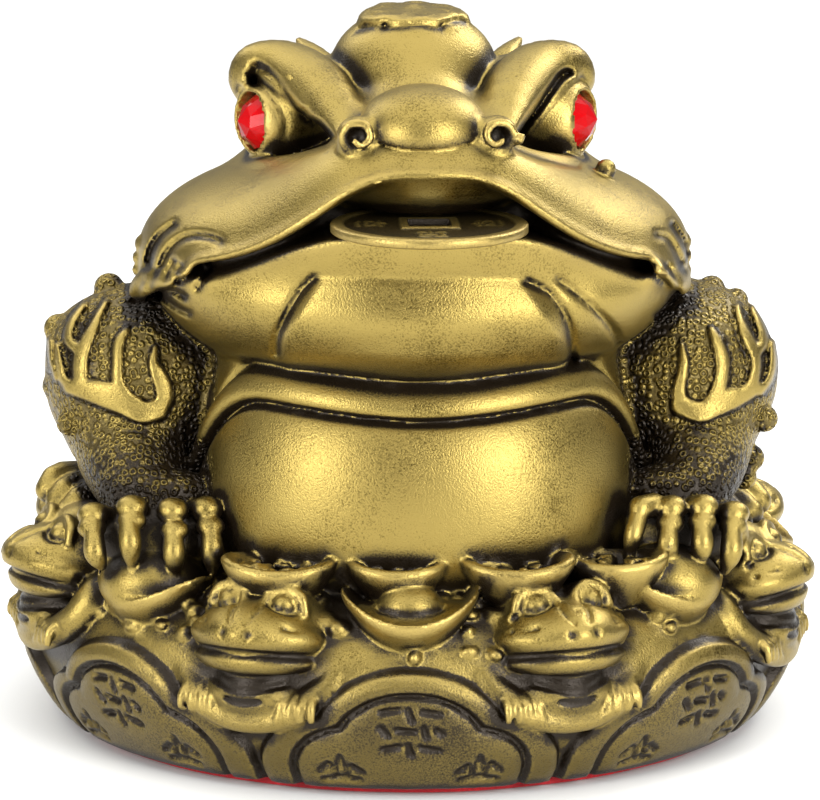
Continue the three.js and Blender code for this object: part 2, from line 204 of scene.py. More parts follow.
class Carving:
    """Forms in order, each joined to what is there before it, cut from it or pressed into it."""

    def __init__(self):
        self.steps = []

    def add(self, form, blend=0.8, both=False):
        self.steps.append(("add", blend, 0, both, form))

    def cut(self, form, blend=0.5, both=False):
        self.steps.append(("cut", blend, 0, both, form))

    def press(self, form, deep, wide, both=False):
        """A soft groove round a line, or a ridge where deep is below zero."""
        self.steps.append(("press", deep, wide, both, form))

    def shift(self, form, both=False):
        """Adds the form's value to the distance, so that the surface sinks by it."""
        self.steps.append(("shift", 0, 0, both, form))

    def distance(self, p, centres, half):
        d = np.full(p.shape[1:], FAR, np.float32)
        folded = p.copy()
        folded[0] = -np.abs(p[0])
        middles = centres.copy()
        middles[0] = -np.abs(centres[0])
        for mode, amount, wide, both, (shape, low, high) in self.steps:
            c = middles if both else centres
            gap = np.maximum(np.maximum(low[:, None] - c, c - high[:, None]), 0)
            reach = half + (3 * wide if mode == "press" else amount) + 0.5
            near = np.sqrt((gap * gap).sum(0)) < reach
            if not near.any():
                continue
            e = shape((folded if both else p)[:, near])
            now = d[near]
            if mode == "add":
                now = smooth_union(now, e, amount)
            elif mode == "cut":
                now = -smooth_union(-now, e, amount)
            elif mode == "press":
                now = now + amount * np.exp(-((np.maximum(e, 0) / wide) ** 2))
            else:
                now = now + e
            d[near] = now
        return d


toad = Carving()

# Body: a barrel whose width and depth change with height; the belly bulges inside a raised band
# Each row is a height and half a width, or how far the back or the front lies from the middle
WIDTHS = [[14, 29], [18, 30.5], [30, 32], [42, 31.4], [52, 30], [62, 28], [72, 25], [80, 19], [88, 8]]
BACKS = [[14, 36], [18, 37.4], [30, 41], [42, 41.5], [52, 39], [62, 34.6], [72, 28], [80, 21], [88, 9]]
FRONTS = [[14, 31], [18, 33], [26, 37], [34, 39.2], [44, 39], [52, 36], [62, 28], [72, 24], [88, 8]]
TABLE = np.linspace(14, 88, 149)
SMOOTH = {
    name: np.interp(TABLE, rounded(rows, 6)[:, 0], rounded(rows, 6)[:, 1])
    for name, rows in (("width", WIDTHS), ("back", BACKS), ("front", FRONTS))
}


def band_height(angle):
    t = np.clip((np.abs(angle) - math.radians(34)) / math.radians(32), 0, 1)
    return 51.6 + 1.2 * smoothstep(np.abs(angle), 0, math.radians(34)) - 22 * t**2.2


def body(p):
    """Barrel of the body, its belly set in a band that runs down both flanks."""
    x, y, z = p[0], p[1] + 2, p[2]
    angle = np.arctan2(x, -y)
    ahead = y < 0
    width = np.interp(z, TABLE, SMOOTH["width"])
    deep = np.where(ahead, np.interp(z, TABLE, SMOOTH["front"]), np.interp(z, TABLE, SMOOTH["back"]))
    power = np.where(ahead, 2.3, 2.0)
    s, c = np.abs(np.sin(angle)), np.abs(np.cos(angle))
    wall = ((s / width) ** power + (c / deep) ** power) ** (-1 / power)
    band = band_height(angle)
    front = smoothstep(np.abs(angle), math.radians(92), math.radians(70))
    belly = np.maximum(np.sin(math.pi * np.clip((z - 19) / (band - 21.4), 0, 1)), 0) ** 0.4
    roll = np.sqrt(np.clip(1 - ((z - band - 0.1) / 2.7) ** 2, 0, 1))
    crease = np.exp(-(((z - band + 2.7) / 0.5) ** 2))
    above = np.exp(-(((z - band - 3.2) / 1.0) ** 2))
    out = front * (smooth_union(-1.9 * belly, -2.1 * roll, 0.25) * -1 - 0.8 * crease) - front * 0.7 * above
    return -smooth_union(-(np.hypot(x, y) - wall - out) * 0.93, 85 - z, 6)


toad.add(field(body, (-36, -45, 14), (36, 43, 90)), 0.5)
HAUNCH = (-31, 16, 42)
HAUNCH_RADII = (13, 19, 14)
HAUNCH_TURN = (14, 0, -14)
toad.add(ball(HAUNCH, HAUNCH_RADII, HAUNCH_TURN), 5, both=True)
for around, up in ((62, 6), (95, 24), (78, 46), (118, 2), (128, 34), (52, 34), (150, 14)):
    a, b = math.radians(around), math.radians(up)
    way = np.array((-math.sin(a) * math.cos(b), -math.cos(a) * math.cos(b), math.sin(b)))
    toad.add(ball(np.array(HAUNCH) + spin(HAUNCH_TURN) @ (way * HAUNCH_RADII), 1.9), 0.9, both=True)
toad.add(cord([(-32, 14, 31), (-38.6, 0, 31)], [5, 4]), 2, both=True)

# Upper arms, forearms and wrists
toad.add(ball((-37.6, -8, 49.4), (13.6, 13.4, 13.4)), 2, both=True)
toad.add(cord([(-38.5, -12, 42), (-38.2, -21, 38), (-35.4, -26, 35)], [9.2, 6, 3.2]), 2, both=True)
toad.add(ball((-34.4, -24.4, 37), (6.4, 4, 3)), 0.8, both=True)
toad.add(ball((-43.2, -8, 53.8), (7.2, 9, 6.4)), 2)

# Head: broad cheeks, muzzle, jaw and jowls, throat sac
toad.add(ball((0, -9, 70), (29, 27, 19)), 3)
toad.add(ball((0, -13, 60), (32, 24, 10)), 2)


def upper_lip(x):
    x = np.abs(x)
    return 66.6 + 14.7 / (1 + (x / 17.5) ** 3) - 5 * smoothstep(x, 29, 36)


def lower_lip(x):
    return 63.2 + 11.2 / (1 + (x / 25) ** 4)


def upper_jaw(p):
    """Cheeks and muzzle above the arched lip, the lip's edge a thin raised bead."""
    x, y, z = p
    across = np.sqrt((x / np.where(x > 0, 37.6, 37.9)) ** 2 + ((y + 13.5) / 35.2) ** 2)
    front = np.clip(-(y + 13.5) / 35.2, 0, 1)
    blunt = front * smoothstep(np.abs(x), 24, 8)
    tall = 15.2 + 5.2 * blunt
    foot = 67.5 + 5.5 * front * smoothstep(np.abs(x), 30, 10)
    up = np.maximum(z - foot, 0) / tall
    behind = smoothstep(y, -14, 8)
    down = np.maximum(foot - z, 0) / (30 - 18 * behind)
    k = (across**2.5 + up ** (2.1 + 0.9 * blunt) + down**2.5) ** (1 / 2.3)
    skin = (k - 1) * np.where(z > foot, 19, 33) * 0.9
    slope = 1 + 1.1 * np.exp(-(((np.abs(x) - 15) / 8) ** 2))
    over = (z - upper_lip(x) + 22 * behind) / np.sqrt(slope)
    bead = 0.35 * np.exp(-(((over - 0.8) / 0.6) ** 2)) * smoothstep(y, -22, -30)
    return -smooth_union(-(skin - bead), over, 0.7)


def lower_jaw(p):
    """From the lower lip down over the broad jowls, hollowed a little under the lip."""
    x, y, z = p
    across = np.sqrt((x / 36.9) ** 2 + ((y + 13.5) / 33.6) ** 2)
    front = np.clip(-(y + 13.5) / 33.6, 0, 1)
    drop = np.maximum(65 - z, 0)
    hollow = 2.6 * np.exp(-(((z - 67) / 3.6) ** 2)) * front**4
    side = (across - 1) * 34.5 + 0.3 * drop + 0.05 * drop**2 + hollow
    skin = -smooth_union(-side - 3 * smoothstep(y, -14, 8), z - 54, 5)
    under = (lower_lip(x) - z) / np.sqrt(1 + 0.7 * np.exp(-(((np.abs(x) - 22) / 8) ** 2)))
    bead = 0.25 * np.exp(-(((under - 0.7) / 0.6) ** 2)) * smoothstep(y, -22, -30)
    return -smooth_union(-(skin - bead), under, 0.8)


def gullet(p):
    """Dark inner wall of the mouth, close behind the lips at the sides and deep behind the coin."""
    across = np.sqrt((p[0] / 36.9) ** 2 + ((p[1] + 13.5) / 33.6) ** 2)
    ahead = (2.6 + 8 * smoothstep(np.abs(p[0]), 20, 12)) * smoothstep(p[1], -6, -15)
    over = p[2] - upper_lip(p[0]) - 2.4
    under = lower_lip(p[0]) - 2.4 - p[2]
    return np.maximum((across - 1) * 34 + ahead + 14 * smoothstep(p[1], -6, 6), np.maximum(over, under))


toad.add(field(gullet, (-36, -47, 57), (36, 22, 83)), 0.4)


def head_distance(p):
    return np.minimum(upper_jaw(p), lower_jaw(p))


toad.add(field(head_distance, (-39, -50, 52), (39, 24, 94)), 1.2)
toad.add(ball((0, -25.5, 61.4), (20.5, 18.4, 8.6), (6, 0, 0)), 1.6)


def throat(p):
    """Throat sac between its creases, standing out a little from the jaw."""
    u, w = seen(p)
    half = 14.6 + 5.4 * np.clip((65 - w) / 8, 0, 1)
    upright = smoothstep(w, 66.5, 62.5) * smoothstep(w, 51.5, 55)
    return -1.1 * smoothstep(np.abs(u - 1.6) - half, 0.4, -2) * upright * smoothstep(p[1], -30, -34)


toad.shift(field(throat, (-24, -50, 50), (24, -30, 72)))

# Creases of the throat, under the lip and down both its sides
for line, deep, wide in (
    ([(-12.2, 65.1), (-4.1, 65), (2, 64.7), (8.1, 65), (15.5, 64.6)], 0.35, 0.8),
    ([(-13.1, 65), (-14.5, 63.6), (-15.8, 61.6), (-17.1, 59.2), (-18, 56.8), (-18.1, 54.7)], 0.9, 0.55),
    ([(15.9, 64.4), (18.3, 63.3), (19.6, 62), (21, 59.9), (21.7, 57.9), (22, 55.8), (22.1, 53.6)],
     0.9, 0.55),
    ([(20, 64.8), (22.3, 63.1), (24.4, 61.3), (26.4, 59.2), (27.8, 57.2), (28.6, 55.4)], 0.75, 0.55),
):
    toad.press(drawn(line, 0, -24), deep, wide)

# Muzzle: nose dome, nostril curls and the bridge up to the crown
toad.add(ball((0, -8, 80), (18, 20, 8.4)), 2.5)
toad.add(ball((0, -31, 80.4), (12, 13.6, 5.4), (6, 0, 0)), 3)
toad.add(ball((0, -25, 85.6), (12.4, 13, 5)), 2)
toad.add(ball((0, -38.6, 81.4), (11.4, 8.8, 5.2)), 1.5)
dome = ball((-0.4, -38.4, 86.7), (8.4, 8.2, 6), (4, 0, 0))


def nose(p):
    """Nose dome, cut off underneath so that it overhangs the muzzle."""
    return -smooth_union(-dome[0](p), p[2] - 84.9 - 0.4 * (p[1] + 46), 0.6)


toad.add((nose, dome[1], dome[2]), 0.4)
CURL = [(1.87, -2.2), (1.925, -3.2), (1.925, -4.2), (1.87, -5.2), (1.54, -6.2), (1.1, -7.4), (0.55, -8.8)]
NOSTRIL = [
    (-8.9 + r * math.cos(a), -43.6 - 0.3 * i, 86.4 + r * math.sin(a)) for i, (r, a) in enumerate(CURL)
]
toad.add(ball((-8.9, -42, 86.3), (2.7, 2.6, 2.7)), 1.2, both=True)
toad.cut(ball((-8.9, -45, 86.5), (1.5, 1.9, 1.5)), 0.3, both=True)
toad.add(cord(NOSTRIL, [0.7, 0.6, 0.4], 4), 0.25, both=True)

# Crown: a bun with a relief of overlapping curls on top, its front running down into the bridge
toad.add(cord([(-0.3, -16, 92), (-0.3, -20, 88.4), (-0.2, -26, 84.6)], [8.6, 8.4, 7.4]), 2)
CROWN = [[8.4, -13], [9.4, -8], [10.6, -4], [10.9, -2], [10.6, 0], [9.7, 1.6], [8.6, 2.8], [7.7, 3.5]]
CROWN = [[0, -14], *rounded(CROWN, 4), [7.5, 3.9], [7.2, 4.8], [6.4, 5.4], [0, 5.8]]
tilt = spin((7, 0, 0)).T


def crown_place(q):
    """Tips the crown back a little."""
    return np.tensordot(tilt, q, axes=(1, 0))


toad.add(turned(CROWN, (-0.3, -15, 95.1), 0.2, crown_place), 1.4)
CURLS = 7
WINDING = ((1.9, 2.6), (1.9, 1.4), (1.8, 0.2), (1.5, -1), (0.9, -2.4), (0.4, -4))
for i in range(CURLS):
    a = 2 * math.pi * i / CURLS + 0.4
    curl = [
        (math.cos(a) * 4.1 + r * math.cos(a + t), math.sin(a) * 4.1 + r * math.sin(a + t), 5.2)
        for r, t in WINDING
    ]
    curl = [tuple(np.array(c) @ tilt + np.array((-0.6, -15, 95.3))) for c in curl]
    toad.add(cord(curl, [0.6, 0.5, 0.4], 3), 0.2)
toad.add(ball((-0.3, -15.4, 101), (1.4, 1.4, 0.6)), 0.3)
for line in (
    [(-7.7, 98.3), (-6.4, 98.7), (-4.5, 98.9), (-3.5, 98.7)],
    [(-3.2, 98.9), (-1.6, 98.7), (1.3, 99), (4.1, 98.6)],
    [(4.4, 99), (5.9, 99.5), (7.5, 99.5)],
):
    toad.press(drawn(line, 0, -18), 0.7, 0.5)

# Eyes: brow rolls curling down outside, dark sockets with a lid fold, eyeballs, lower lids and pointed ears
toad.add(ball((-14.5, -11, 86.6), (9, 12, 8), (0, 0, 18)), 1.8, both=True)
for line in (
    [(-21.8, -13, 88.6), (-22.9, -15.2, 91.5), (-21.3, -16.4, 93.4),
     (-17, -18.6, 92.1), (-12.8, -25, 89.6), (-9.4, -35, 85.2)],
    [(20.6, -13, 88.6), (21.9, -15.2, 91.3), (20.2, -16.4, 93.3),
     (15.9, -18.6, 91.9), (12.4, -25, 89.4), (10, -35, 85.2)],
):
    toad.add(cord(line, [2, 2.4, 3.1, 4.6, 4.4, 2.4], 4), 1.8)
SOCKETS = (
    [(-22.3, 89.7), (-22.7, 91.1), (-22.3, 92.7), (-21.3, 93.9), (-20.3, 94.3), (-19, 93.7), (-17.4, 92.2),
     (-16, 90.5), (-14.7, 88.9), (-13.4, 87.1), (-11.8, 86.2), (-10.2, 84.5), (-9.8, 83.8), (-11, 82.7),
     (-13, 82), (-15, 81.4), (-17, 80.8), (-19.1, 80.7), (-20.7, 81.4), (-21.9, 82.4)],
    [(23.5, 89.8), (22.8, 91.7), (21.9, 92.9), (20.8, 93.3), (19.8, 92.7), (18.7, 91.1), (17.6, 89.8),
     (16.3, 88.1), (15, 86.2), (13.9, 84.5), (13.3, 83.2), (13.8, 82.3), (15.3, 81.5), (17.4, 80.7),
     (20.1, 80.2), (22.6, 79.9), (23.6, 81), (23.3, 82.3)],
)


def sockets(p):
    """Sinks both eye sockets inside their outlines."""
    u, w = seen(p)
    deep = 0
    for outline in SOCKETS:
        deep = np.maximum(deep, smoothstep(-within(u, w, np.array(outline)), -0.4, 1.6))
    return 2.8 * deep * smoothstep(p[1], -9, -15)


toad.shift(field(sockets, (-27, -42, 74), (27, -6, 102)))
toad.add(ball((-20.6, -12, 90.4), (2.6, 3.6, 3)), 0.4, both=True)
toad.add(ball((-18.6, -17.6, 86.4), (6, 6.6, 6), (0, 0, 20)), 0.3, both=True)
for line, high, wide in (
    ([(-22.3, 91.4), (-21.6, 92.5), (-20.6, 92.9), (-19.2, 92.2), (-17.9, 91.1), (-16.4, 89.8),
      (-15, 88.2)], 1.1, 0.7),
    ([(22, 92.2), (20.8, 91.4), (19.6, 89.9), (18.6, 88.6), (17.4, 87), (16.1, 85.3), (14.9, 83.4)],
     0.9, 0.6),
):
    toad.press(drawn(line, 0, -8), -high, wide)
lid_line = [(-20.8, 91.4), (-19.5, 90.7), (-18.3, 89.4), (-17.3, 87.7), (-16.6, 85.9), (-16.8, 84.1)]
toad.press(drawn(lid_line, 0, -12), 0.6, 0.5)
lid = [(-21.6, -11, 79.6), (-21.6, -17, 79.4), (-19.2, -25, 80.4), (-15, -31, 82), (-11.6, -35.6, 83.8)]
toad.add(cord(lid, [1.6, 1.8, 1.7, 1.3, 0.9]), 1.4, both=True)
toad.add(cord([(-10, -6, 89), (-13.2, -2, 93.2), (-15.4, 2, 95.4)], [3.2, 1.8, 0.6], 4), 0.8, both=True)

GEM_POINT = np.array((-21.6, -19.6, 86.2), np.float32)
GEM_OUT = np.array((-0.93, -0.36, 0.06), np.float32) / math.hypot(0.93, 0.36, 0.06)
MM = 0.001 / SHARE
GEM_RADIUS = 4 * MM
toad.add(cord([GEM_POINT - 7.6 * GEM_OUT, GEM_POINT - 3.1 * GEM_OUT], [5.4, 5], 1), 1, both=True)


def gem_seat(p):
    """Round seat that the stone is glued into, with a little room around it."""
    q = p - column(GEM_POINT)
    h = q[0] * GEM_OUT[0] + q[1] * GEM_OUT[1] + q[2] * GEM_OUT[2]
    r = np.sqrt(np.maximum((q * q).sum(0) - h * h, 0))
    return np.maximum(r - GEM_RADIUS - 0.28, -1.42 - h)


toad.cut(field(gem_seat, GEM_POINT - 6, GEM_POINT + 6), 0.15, both=True)

# Mouth corners: a knob with a rope-like fold curling away from it, creases over the cheek, small warts
fold = [(-29.4, -31, 65.6), (-32.6, -27.4, 66), (-35.4, -23, 65.4), (-37.2, -19, 63.8), (-37.6, -16, 61.6)]
toad.add(cord(fold, [1.5, 2, 1.9, 1.6, 1.0]), 0.6)
for line, high in (
    ([(-28.4, 65), (-30, 65.2), (-31.9, 65.4), (-33.8, 64.9), (-35.4, 64), (-36.4, 62.8)], 0.5),
    ([(33, 65.2), (34, 65.8), (35.4, 65.2), (36.4, 64.2)], 1),
):
    toad.press(drawn(line, 0, -4), -high, 1.3)
for line, deep in (
    ([(-32, 67.2), (-32.5, 66.2), (-33, 65.2)], 0.5),
    ([(-34.4, 65.8), (-35, 64.7), (-35.3, 63.6)], 0.5),
    ([(-36.1, 64.7), (-36.8, 63.6), (-36.9, 62.1)], 0.5),
    ([(-30.9, 66.5), (-31.6, 65.7), (-31.5, 64.6)], 0.7),
    ([(-27.1, 66.3), (-27.8, 65.1), (-28.7, 63.7)], 0.7),
    ([(-37.6, 61.6), (-36.3, 61.7), (-34.9, 62.5), (-33.5, 63.1), (-31.9, 63.2), (-30.6, 62.4)], 0.8),
    ([(-33.8, 62.7), (-31.8, 61.1), (-29.9, 60.1)], 0.8),
    ([(-31.8, 72.3), (-33.7, 70.8), (-34.9, 68.9), (-35.5, 66.6)], 0.45),
    ([(-25.5, 70), (-27.6, 70.7), (-29.7, 70.7), (-31.3, 70), (-32.7, 68.5), (-33.6, 66.6)], 0.45),
    ([(34.8, 66.5), (36.1, 64.6), (36.1, 63.1), (34.8, 61.1), (33.3, 59.8)], 0.7),
    ([(33.4, 70.8), (34.8, 70.4), (35.7, 69.1), (36.4, 67.6), (37.1, 66.1)], 0.4),
    ([(35.4, 72.2), (36.4, 70.6), (37.4, 68.8), (37.9, 66.9)], 0.4),
):
    toad.press(drawn(line, 0, -4), deep, 0.5)
CHEEK_WARTS = [
    ((-37.1, -16, 69.4), 1.1), ((-37.7, -15.4, 67.4), 0.9), ((-37.9, -15, 65.7), 0.8),
    ((36.4, -16.2, 69.2), 1.2), ((36.7, -15.8, 67.2), 1.1), ((36.7, -15.6, 65.2), 1.1),
    ((24.9, -24, 80), 1.4),
]
for at, size in CHEEK_WARTS:
    toad.add(ball(at, size), 0.5)

# Scaly arms with warts, and the smooth flame-like bands that lie over them
ARM_WARTS = [
    ((-42.2, -6.2, 61.9), 2.1), ((-49.2, -7.3, 56.4), 2.1), ((-49.8, -9.8, 48.8), 1.7),
    ((-47.6, -15.6, 44.6), 1.7), ((-42.2, -16.6, 39.9), 2.1), ((-37.8, -20.1, 43.2), 1.7),
    ((42, -6.7, 61.2), 1.9), ((45.3, -7.4, 59.6), 1.8), ((48.6, -14, 44), 1.9), ((42.6, -19.4, 44), 1.3),
    ((35.7, -19, 41.6), 1.8), ((47.2, -11.8, 38), 1.9), ((46.2, -12.3, 35.4), 1.8),
]
for at, size in ARM_WARTS:
    toad.add(ball(at, size), 0.5)
FLAMES = [
    ([(-38.4, 57.9), (-39.5, 56.1), (-39.7, 53.5), (-39.7, 50.7), (-38.9, 48.8)],
     [0.4, 0.7, 0.7, 0.8, 1.1]),
    ([(-34.5, 55.5), (-34.9, 53.5), (-34.2, 51.7), (-33.5, 49.9), (-33.5, 48.1), (-34.9, 46.7)],
     [0.3, 0.6, 1.0, 1.1, 1.1, 1.1]),
    ([(-46.2, 50), (-43.5, 49.5), (-41.1, 48.8), (-38.8, 47.8), (-36.5, 46.5), (-34.3, 46.8)],
     [1.0, 1.5, 1.8, 1.7, 1.5, 1.3]),
    ([(-41.1, 61.8), (-42.3, 59.6), (-43.2, 57.6), (-44.2, 55.7), (-44.8, 53.5), (-44.9, 51.2),
      (-44.6, 49.6)],
     [0.3, 0.5, 0.7, 0.9, 1.0, 1.0, 1.0]),
    ([(-44.1, 61.4), (-45.5, 59.5), (-46.2, 57.9), (-46.3, 56.3), (-45.3, 55.4)],
     [0.3, 0.5, 0.5, 0.6, 0.7]),
    ([(-47.9, 55.8), (-47.7, 53.5), (-47.2, 51.2), (-46.2, 49.9)],
     [0.3, 0.5, 0.6, 0.7]),
    ([(-48.8, 56.5), (-48.7, 53.7), (-48.1, 51.2)],
     [0.3, 0.3, 0.3]),
    ([(36.8, 55.8), (37.2, 53.7), (37, 51.7), (36.6, 49.6), (36.9, 47.9), (38.1, 46.8)],
     [0.3, 0.6, 0.7, 0.8, 1.0, 1.1]),
    ([(40.8, 58.1), (41.6, 56.3), (42.4, 54), (42.4, 51.7), (42, 49.6), (41.1, 47.8)],
     [0.3, 0.7, 0.9, 0.9, 1.0, 1.1]),
    ([(44.3, 61.1), (44.8, 59.2), (45.4, 57.6), (46.3, 55.8), (47, 54), (47, 52.1), (46.5, 50.3),
      (45.6, 48.9)],
     [0.3, 0.5, 0.7, 0.8, 0.7, 0.7, 0.8, 1.0]),
    ([(46.3, 61), (47.4, 58.5), (48, 56.2), (47, 54.8)],
     [0.3, 0.5, 0.6, 0.7]),
    ([(49.1, 56.1), (49.3, 53), (48.7, 50.8), (47.6, 49.5)],
     [0.4, 0.5, 0.5, 0.7]),
    ([(36.9, 47.4), (39.5, 46.5), (41.5, 47.4), (43.6, 48.3), (45.6, 49), (47.3, 50)],
     [1.3, 1.4, 1.5, 1.5, 1.1, 0.8]),
]
STRANDS = [drawn(line, widths, -3, 3)[0] for line, widths in FLAMES]


def flames(p):
    """Distance as it is seen to the flame-like bands over both arms."""
    return np.minimum.reduce([strand(p) for strand in STRANDS])


def bands(p):
    return -0.85 * smoothstep(-flames(p), -0.35, 0.25) * smoothstep(p[1], -3, -6)


for low, high in (((-54, -28, 42), (-31, -3, 66)), ((33, -30, 42), (54, -3, 66))):
    toad.shift(field(bands, low, high))

# Hands on the side ingots: each finger a knuckle cap, a ring fold and a long claw
toad.add(ball((-35.4, -26.4, 33.2), (8.6, 4.4, 2.4)), 0.8, both=True)
toad.add(ball((-35.8, -25.4, 30.6), (9, 6, 4.6)), 0.8, both=True)
FINGERS = [
    ((-43.8, -29.6, 34.8), (-43.9, -31.2, 33.4), (-43.6, -32.4, 32.7), (-43.4, -33.4, 30.5),
     (-42.6, -32.6, 28.6)),
    ((-38.6, -31.2, 36.1), (-38.5, -32.6, 34.7), (-38.9, -33.4, 34.4), (-38.7, -34.9, 31.9),
     (-38.6, -33.8, 29)),
    ((-33.2, -31.4, 35.7), (-32.9, -33, 33.4), (-33.1, -33.8, 32.7), (-33, -34.8, 30.5), (-32.8, -33.8, 28)),
    ((-28.7, -30.6, 35.7), (-28.2, -32.2, 33.7), (-28.1, -33, 32.9), (-28, -33.9, 30.5), (-28, -33, 27.8)),
    ((33.3, -32.4, 35.5), (32.9, -33.8, 33.7), (32.6, -34.6, 33.1), (32.4, -35.7, 31), (32.6, -34.6, 28.6)),
    ((37.5, -32.4, 35.6), (37.2, -33.8, 33.9), (37, -34.6, 33.3), (37, -35.7, 31), (36.6, -34.6, 28.6)),
    ((41.8, -31.4, 34.4), (41.5, -32.8, 33), (41.2, -33.6, 32.5), (41, -34.9, 30), (40.4, -33.8, 27.2)),
]
KNUCKLE_FOLD = ((-2.1, -1.1, -0.6), (-1.1, -1.9, -1.2), (0, -2, -1.35), (1.1, -1.9, -1.2), (2.1, -1.1, -0.6))
HAND_MIDDLE = 35.4
for knuckle, ring, root, middle, tip in FINGERS:
    hand = math.copysign(HAND_MIDDLE, knuckle[0])
    wrist = (hand + 0.6 * (knuckle[0] - hand), -26.6, knuckle[2] - 1.6)
    toad.add(cord([wrist, knuckle], [1.9, 1.5], 1), 0.4)
    toad.add(ball(knuckle, (2.15, 2, 1.75)), 0.35)
    toad.press(cord([np.array(knuckle) + step for step in KNUCKLE_FOLD]), 0.5, 0.35)
    toad.add(ball(ring, (1.95, 1.7, 1.45)), 0.12)
    toad.add(cord([root, middle, tip], [1.3, 1.5, 0.7], 4), 0.1)
toad.add(cord([(31, -31.6, 35.8), (29, -33, 35.6)], [1.6, 1.7], 2), 0.4)
toad.add(cord([(28.6, -33.8, 34.6), (27.8, -35.2, 32.4), (27.2, -35, 29.6)], [1.3, 1.3, 0.6], 3), 0.15)

# Hind feet beside the arms, and rows of warts down the back
for side, low, wide in ((-1, 0, 0.8), (1, 2.8, -1)):
    for x, y, z in ((50.4, -5.4, 34.6), (48.8, -8.6, 33.6), (46.8, -11.4, 33)):
        joint = (side * (x - 2 + wide), y + 2, z - low)
        tip = (side * (x + wide), y, z - 1.4 - low)
        toad.add(cord([(side * 41, 2, 32), joint, tip], [3.4, 2.2, 1.9], 3), 0.7)


def on_back(angle, z):
    """Point of the body's skin at an angle from straight behind."""
    a = math.radians(180 - angle)
    width, deep = np.interp(z, TABLE, SMOOTH["width"]), np.interp(z, TABLE, SMOOTH["back"])
    r = ((math.sin(a) / width) ** 2 + (math.cos(a) / deep) ** 2) ** -0.5
    return r * math.sin(a), -2 - r * math.cos(a), z


toad.press(cord([on_back(0, z) for z in (80, 72, 64, 52, 40, 30)], 0, 3), 1.1, 1.8)
for row, (z, size) in enumerate(((76, 1.7), (68, 2.3), (60, 2.0), (52, 2.6), (44, 2.1), (36, 2.2))):
    for column_at in range(-3, 3):
        from_spine = column_at + 0.5
        at = on_back(from_spine * 19 + (5 if row % 2 else 0), z)
        toad.add(ball(at, size * (1 - 0.12 * abs(from_spine))), 0.9)
for angle in (44, 58):
    line = [on_back(angle, 70), on_back(angle + 6, 58), on_back(angle - 6, 46)]
    toad.press(cord(line, 0, 3), 0.7, 0.9, both=True)

# Room for the coin
COIN_RADIUS = 13.5 * MM
COIN_THICK = 1.4 * MM
COIN_GAP = 0.3 * MM
COIN_CENTRE = np.array((0, -46.6, lower_lip(0) + COIN_THICK / 2 + COIN_GAP), np.float32)
lean = spin((3, 0, 0)).T


def coin_room(p):
    """Slot that the coin lies in, with a gap all round."""
    q = np.tensordot(lean, p - column(COIN_CENTRE), axes=(1, 0))
    outside = np.maximum(np.hypot(q[0], q[1]) - COIN_RADIUS, np.abs(q[2]) - COIN_THICK / 2)
    return outside - COIN_GAP


toad.cut(field(coin_room, COIN_CENTRE - 13.5, COIN_CENTRE + 13.5), 0.1)

# Base: a bowl that flares upwards; its wall carries eight cloud-edged petals, each a raised band round a
# sunk line and a panel
PETALS = 8
STEP = 2 * math.pi / PETALS
DEPTH = 0.91
FOOT_DEPTH = 0.955
UNDERSIDE = 1.02
BOWL_TOP = 25.4
PETAL_REACH = 54
BOWL = [
    [UNDERSIDE, 48.2], [2.5, 49.7], [5, 51.4], [8, 52.9], [12, 54.2], [15.5, 54.6],
    [18.5, 53.8], [21.5, 51.4], [24, 47.4], [BOWL_TOP, 43],
]
BOWL_AT = np.linspace(UNDERSIDE, BOWL_TOP, 97)
BOWL_OUT = np.interp(BOWL_AT, rounded(BOWL, 6)[:, 0], rounded(BOWL, 6)[:, 1])
base = Carving()


def oval(x, z, cx, cz, a, b):
    """About the distance to an upright ellipse in the plane."""
    qx, qz = (x - cx) / a, (z - cz) / b
    k = np.sqrt(qx * qx + qz * qz)
    return k * (k - 1) / np.maximum(np.sqrt((qx / a) ** 2 + (qz / b) ** 2), 1e-4)


def petal_edge(x, z):
    """Distance to the petal's outline, below zero inside."""
    lower = np.maximum(np.abs(x) - 20.7, z - 3.4)
    return np.minimum(np.minimum(oval(x, z, 0, 7.6, 13, 10), oval(np.abs(x), z, 9.8, 3.2, 11, 8.6)), lower)


def scratch(x, z, a, b, wide=0.42):
    """A cut stroke from a to b, as a depth between 0 and 1."""
    dx, dz = b[0] - a[0], b[1] - a[1]
    h = np.clip(((x - a[0]) * dx + (z - a[1]) * dz) / (dx * dx + dz * dz), 0, 1)
    return np.exp(-(((x - a[0] - h * dx) ** 2 + (z - a[1] - h * dz) ** 2) / wide**2))


# Rows of short strokes where the panel is inscribed, and a small budded spray either side
STROKES = [
    ((-3.6, 12.4), (-1.4, 12.7)), ((-0.3, 12.8), (0.3, 11.2)), ((1.5, 12.5), (3.8, 12.1)),
    ((-3.8, 10.4), (-2.8, 9.2)), ((-1.6, 10), (0.6, 9.8)), ((1.7, 10.4), (2.2, 8.9)),
    ((3.3, 10), (4.1, 9.4)), ((-3.4, 7.3), (-1.4, 7.7)), ((-0.3, 8), (0.2, 6.5)), ((1.3, 7.6), (3.7, 7.1)),
]
SPRAY_AT = (9.2, 3.2)
SPRAY = [
    ((-2.9, 0.6), (-1.4, 1.7)), ((-1.4, 1.7), (-0.7, 0.3)), ((-0.7, 0.8), (0, 3)), ((0, 3), (0.8, 0.8)),
    ((0.7, 0.4), (1.6, 1.9)), ((1.6, 1.9), (3, 0.7)), ((-2.4, -0.5), (0, -0.1)), ((0, -0.1), (2.6, -0.6)),
]


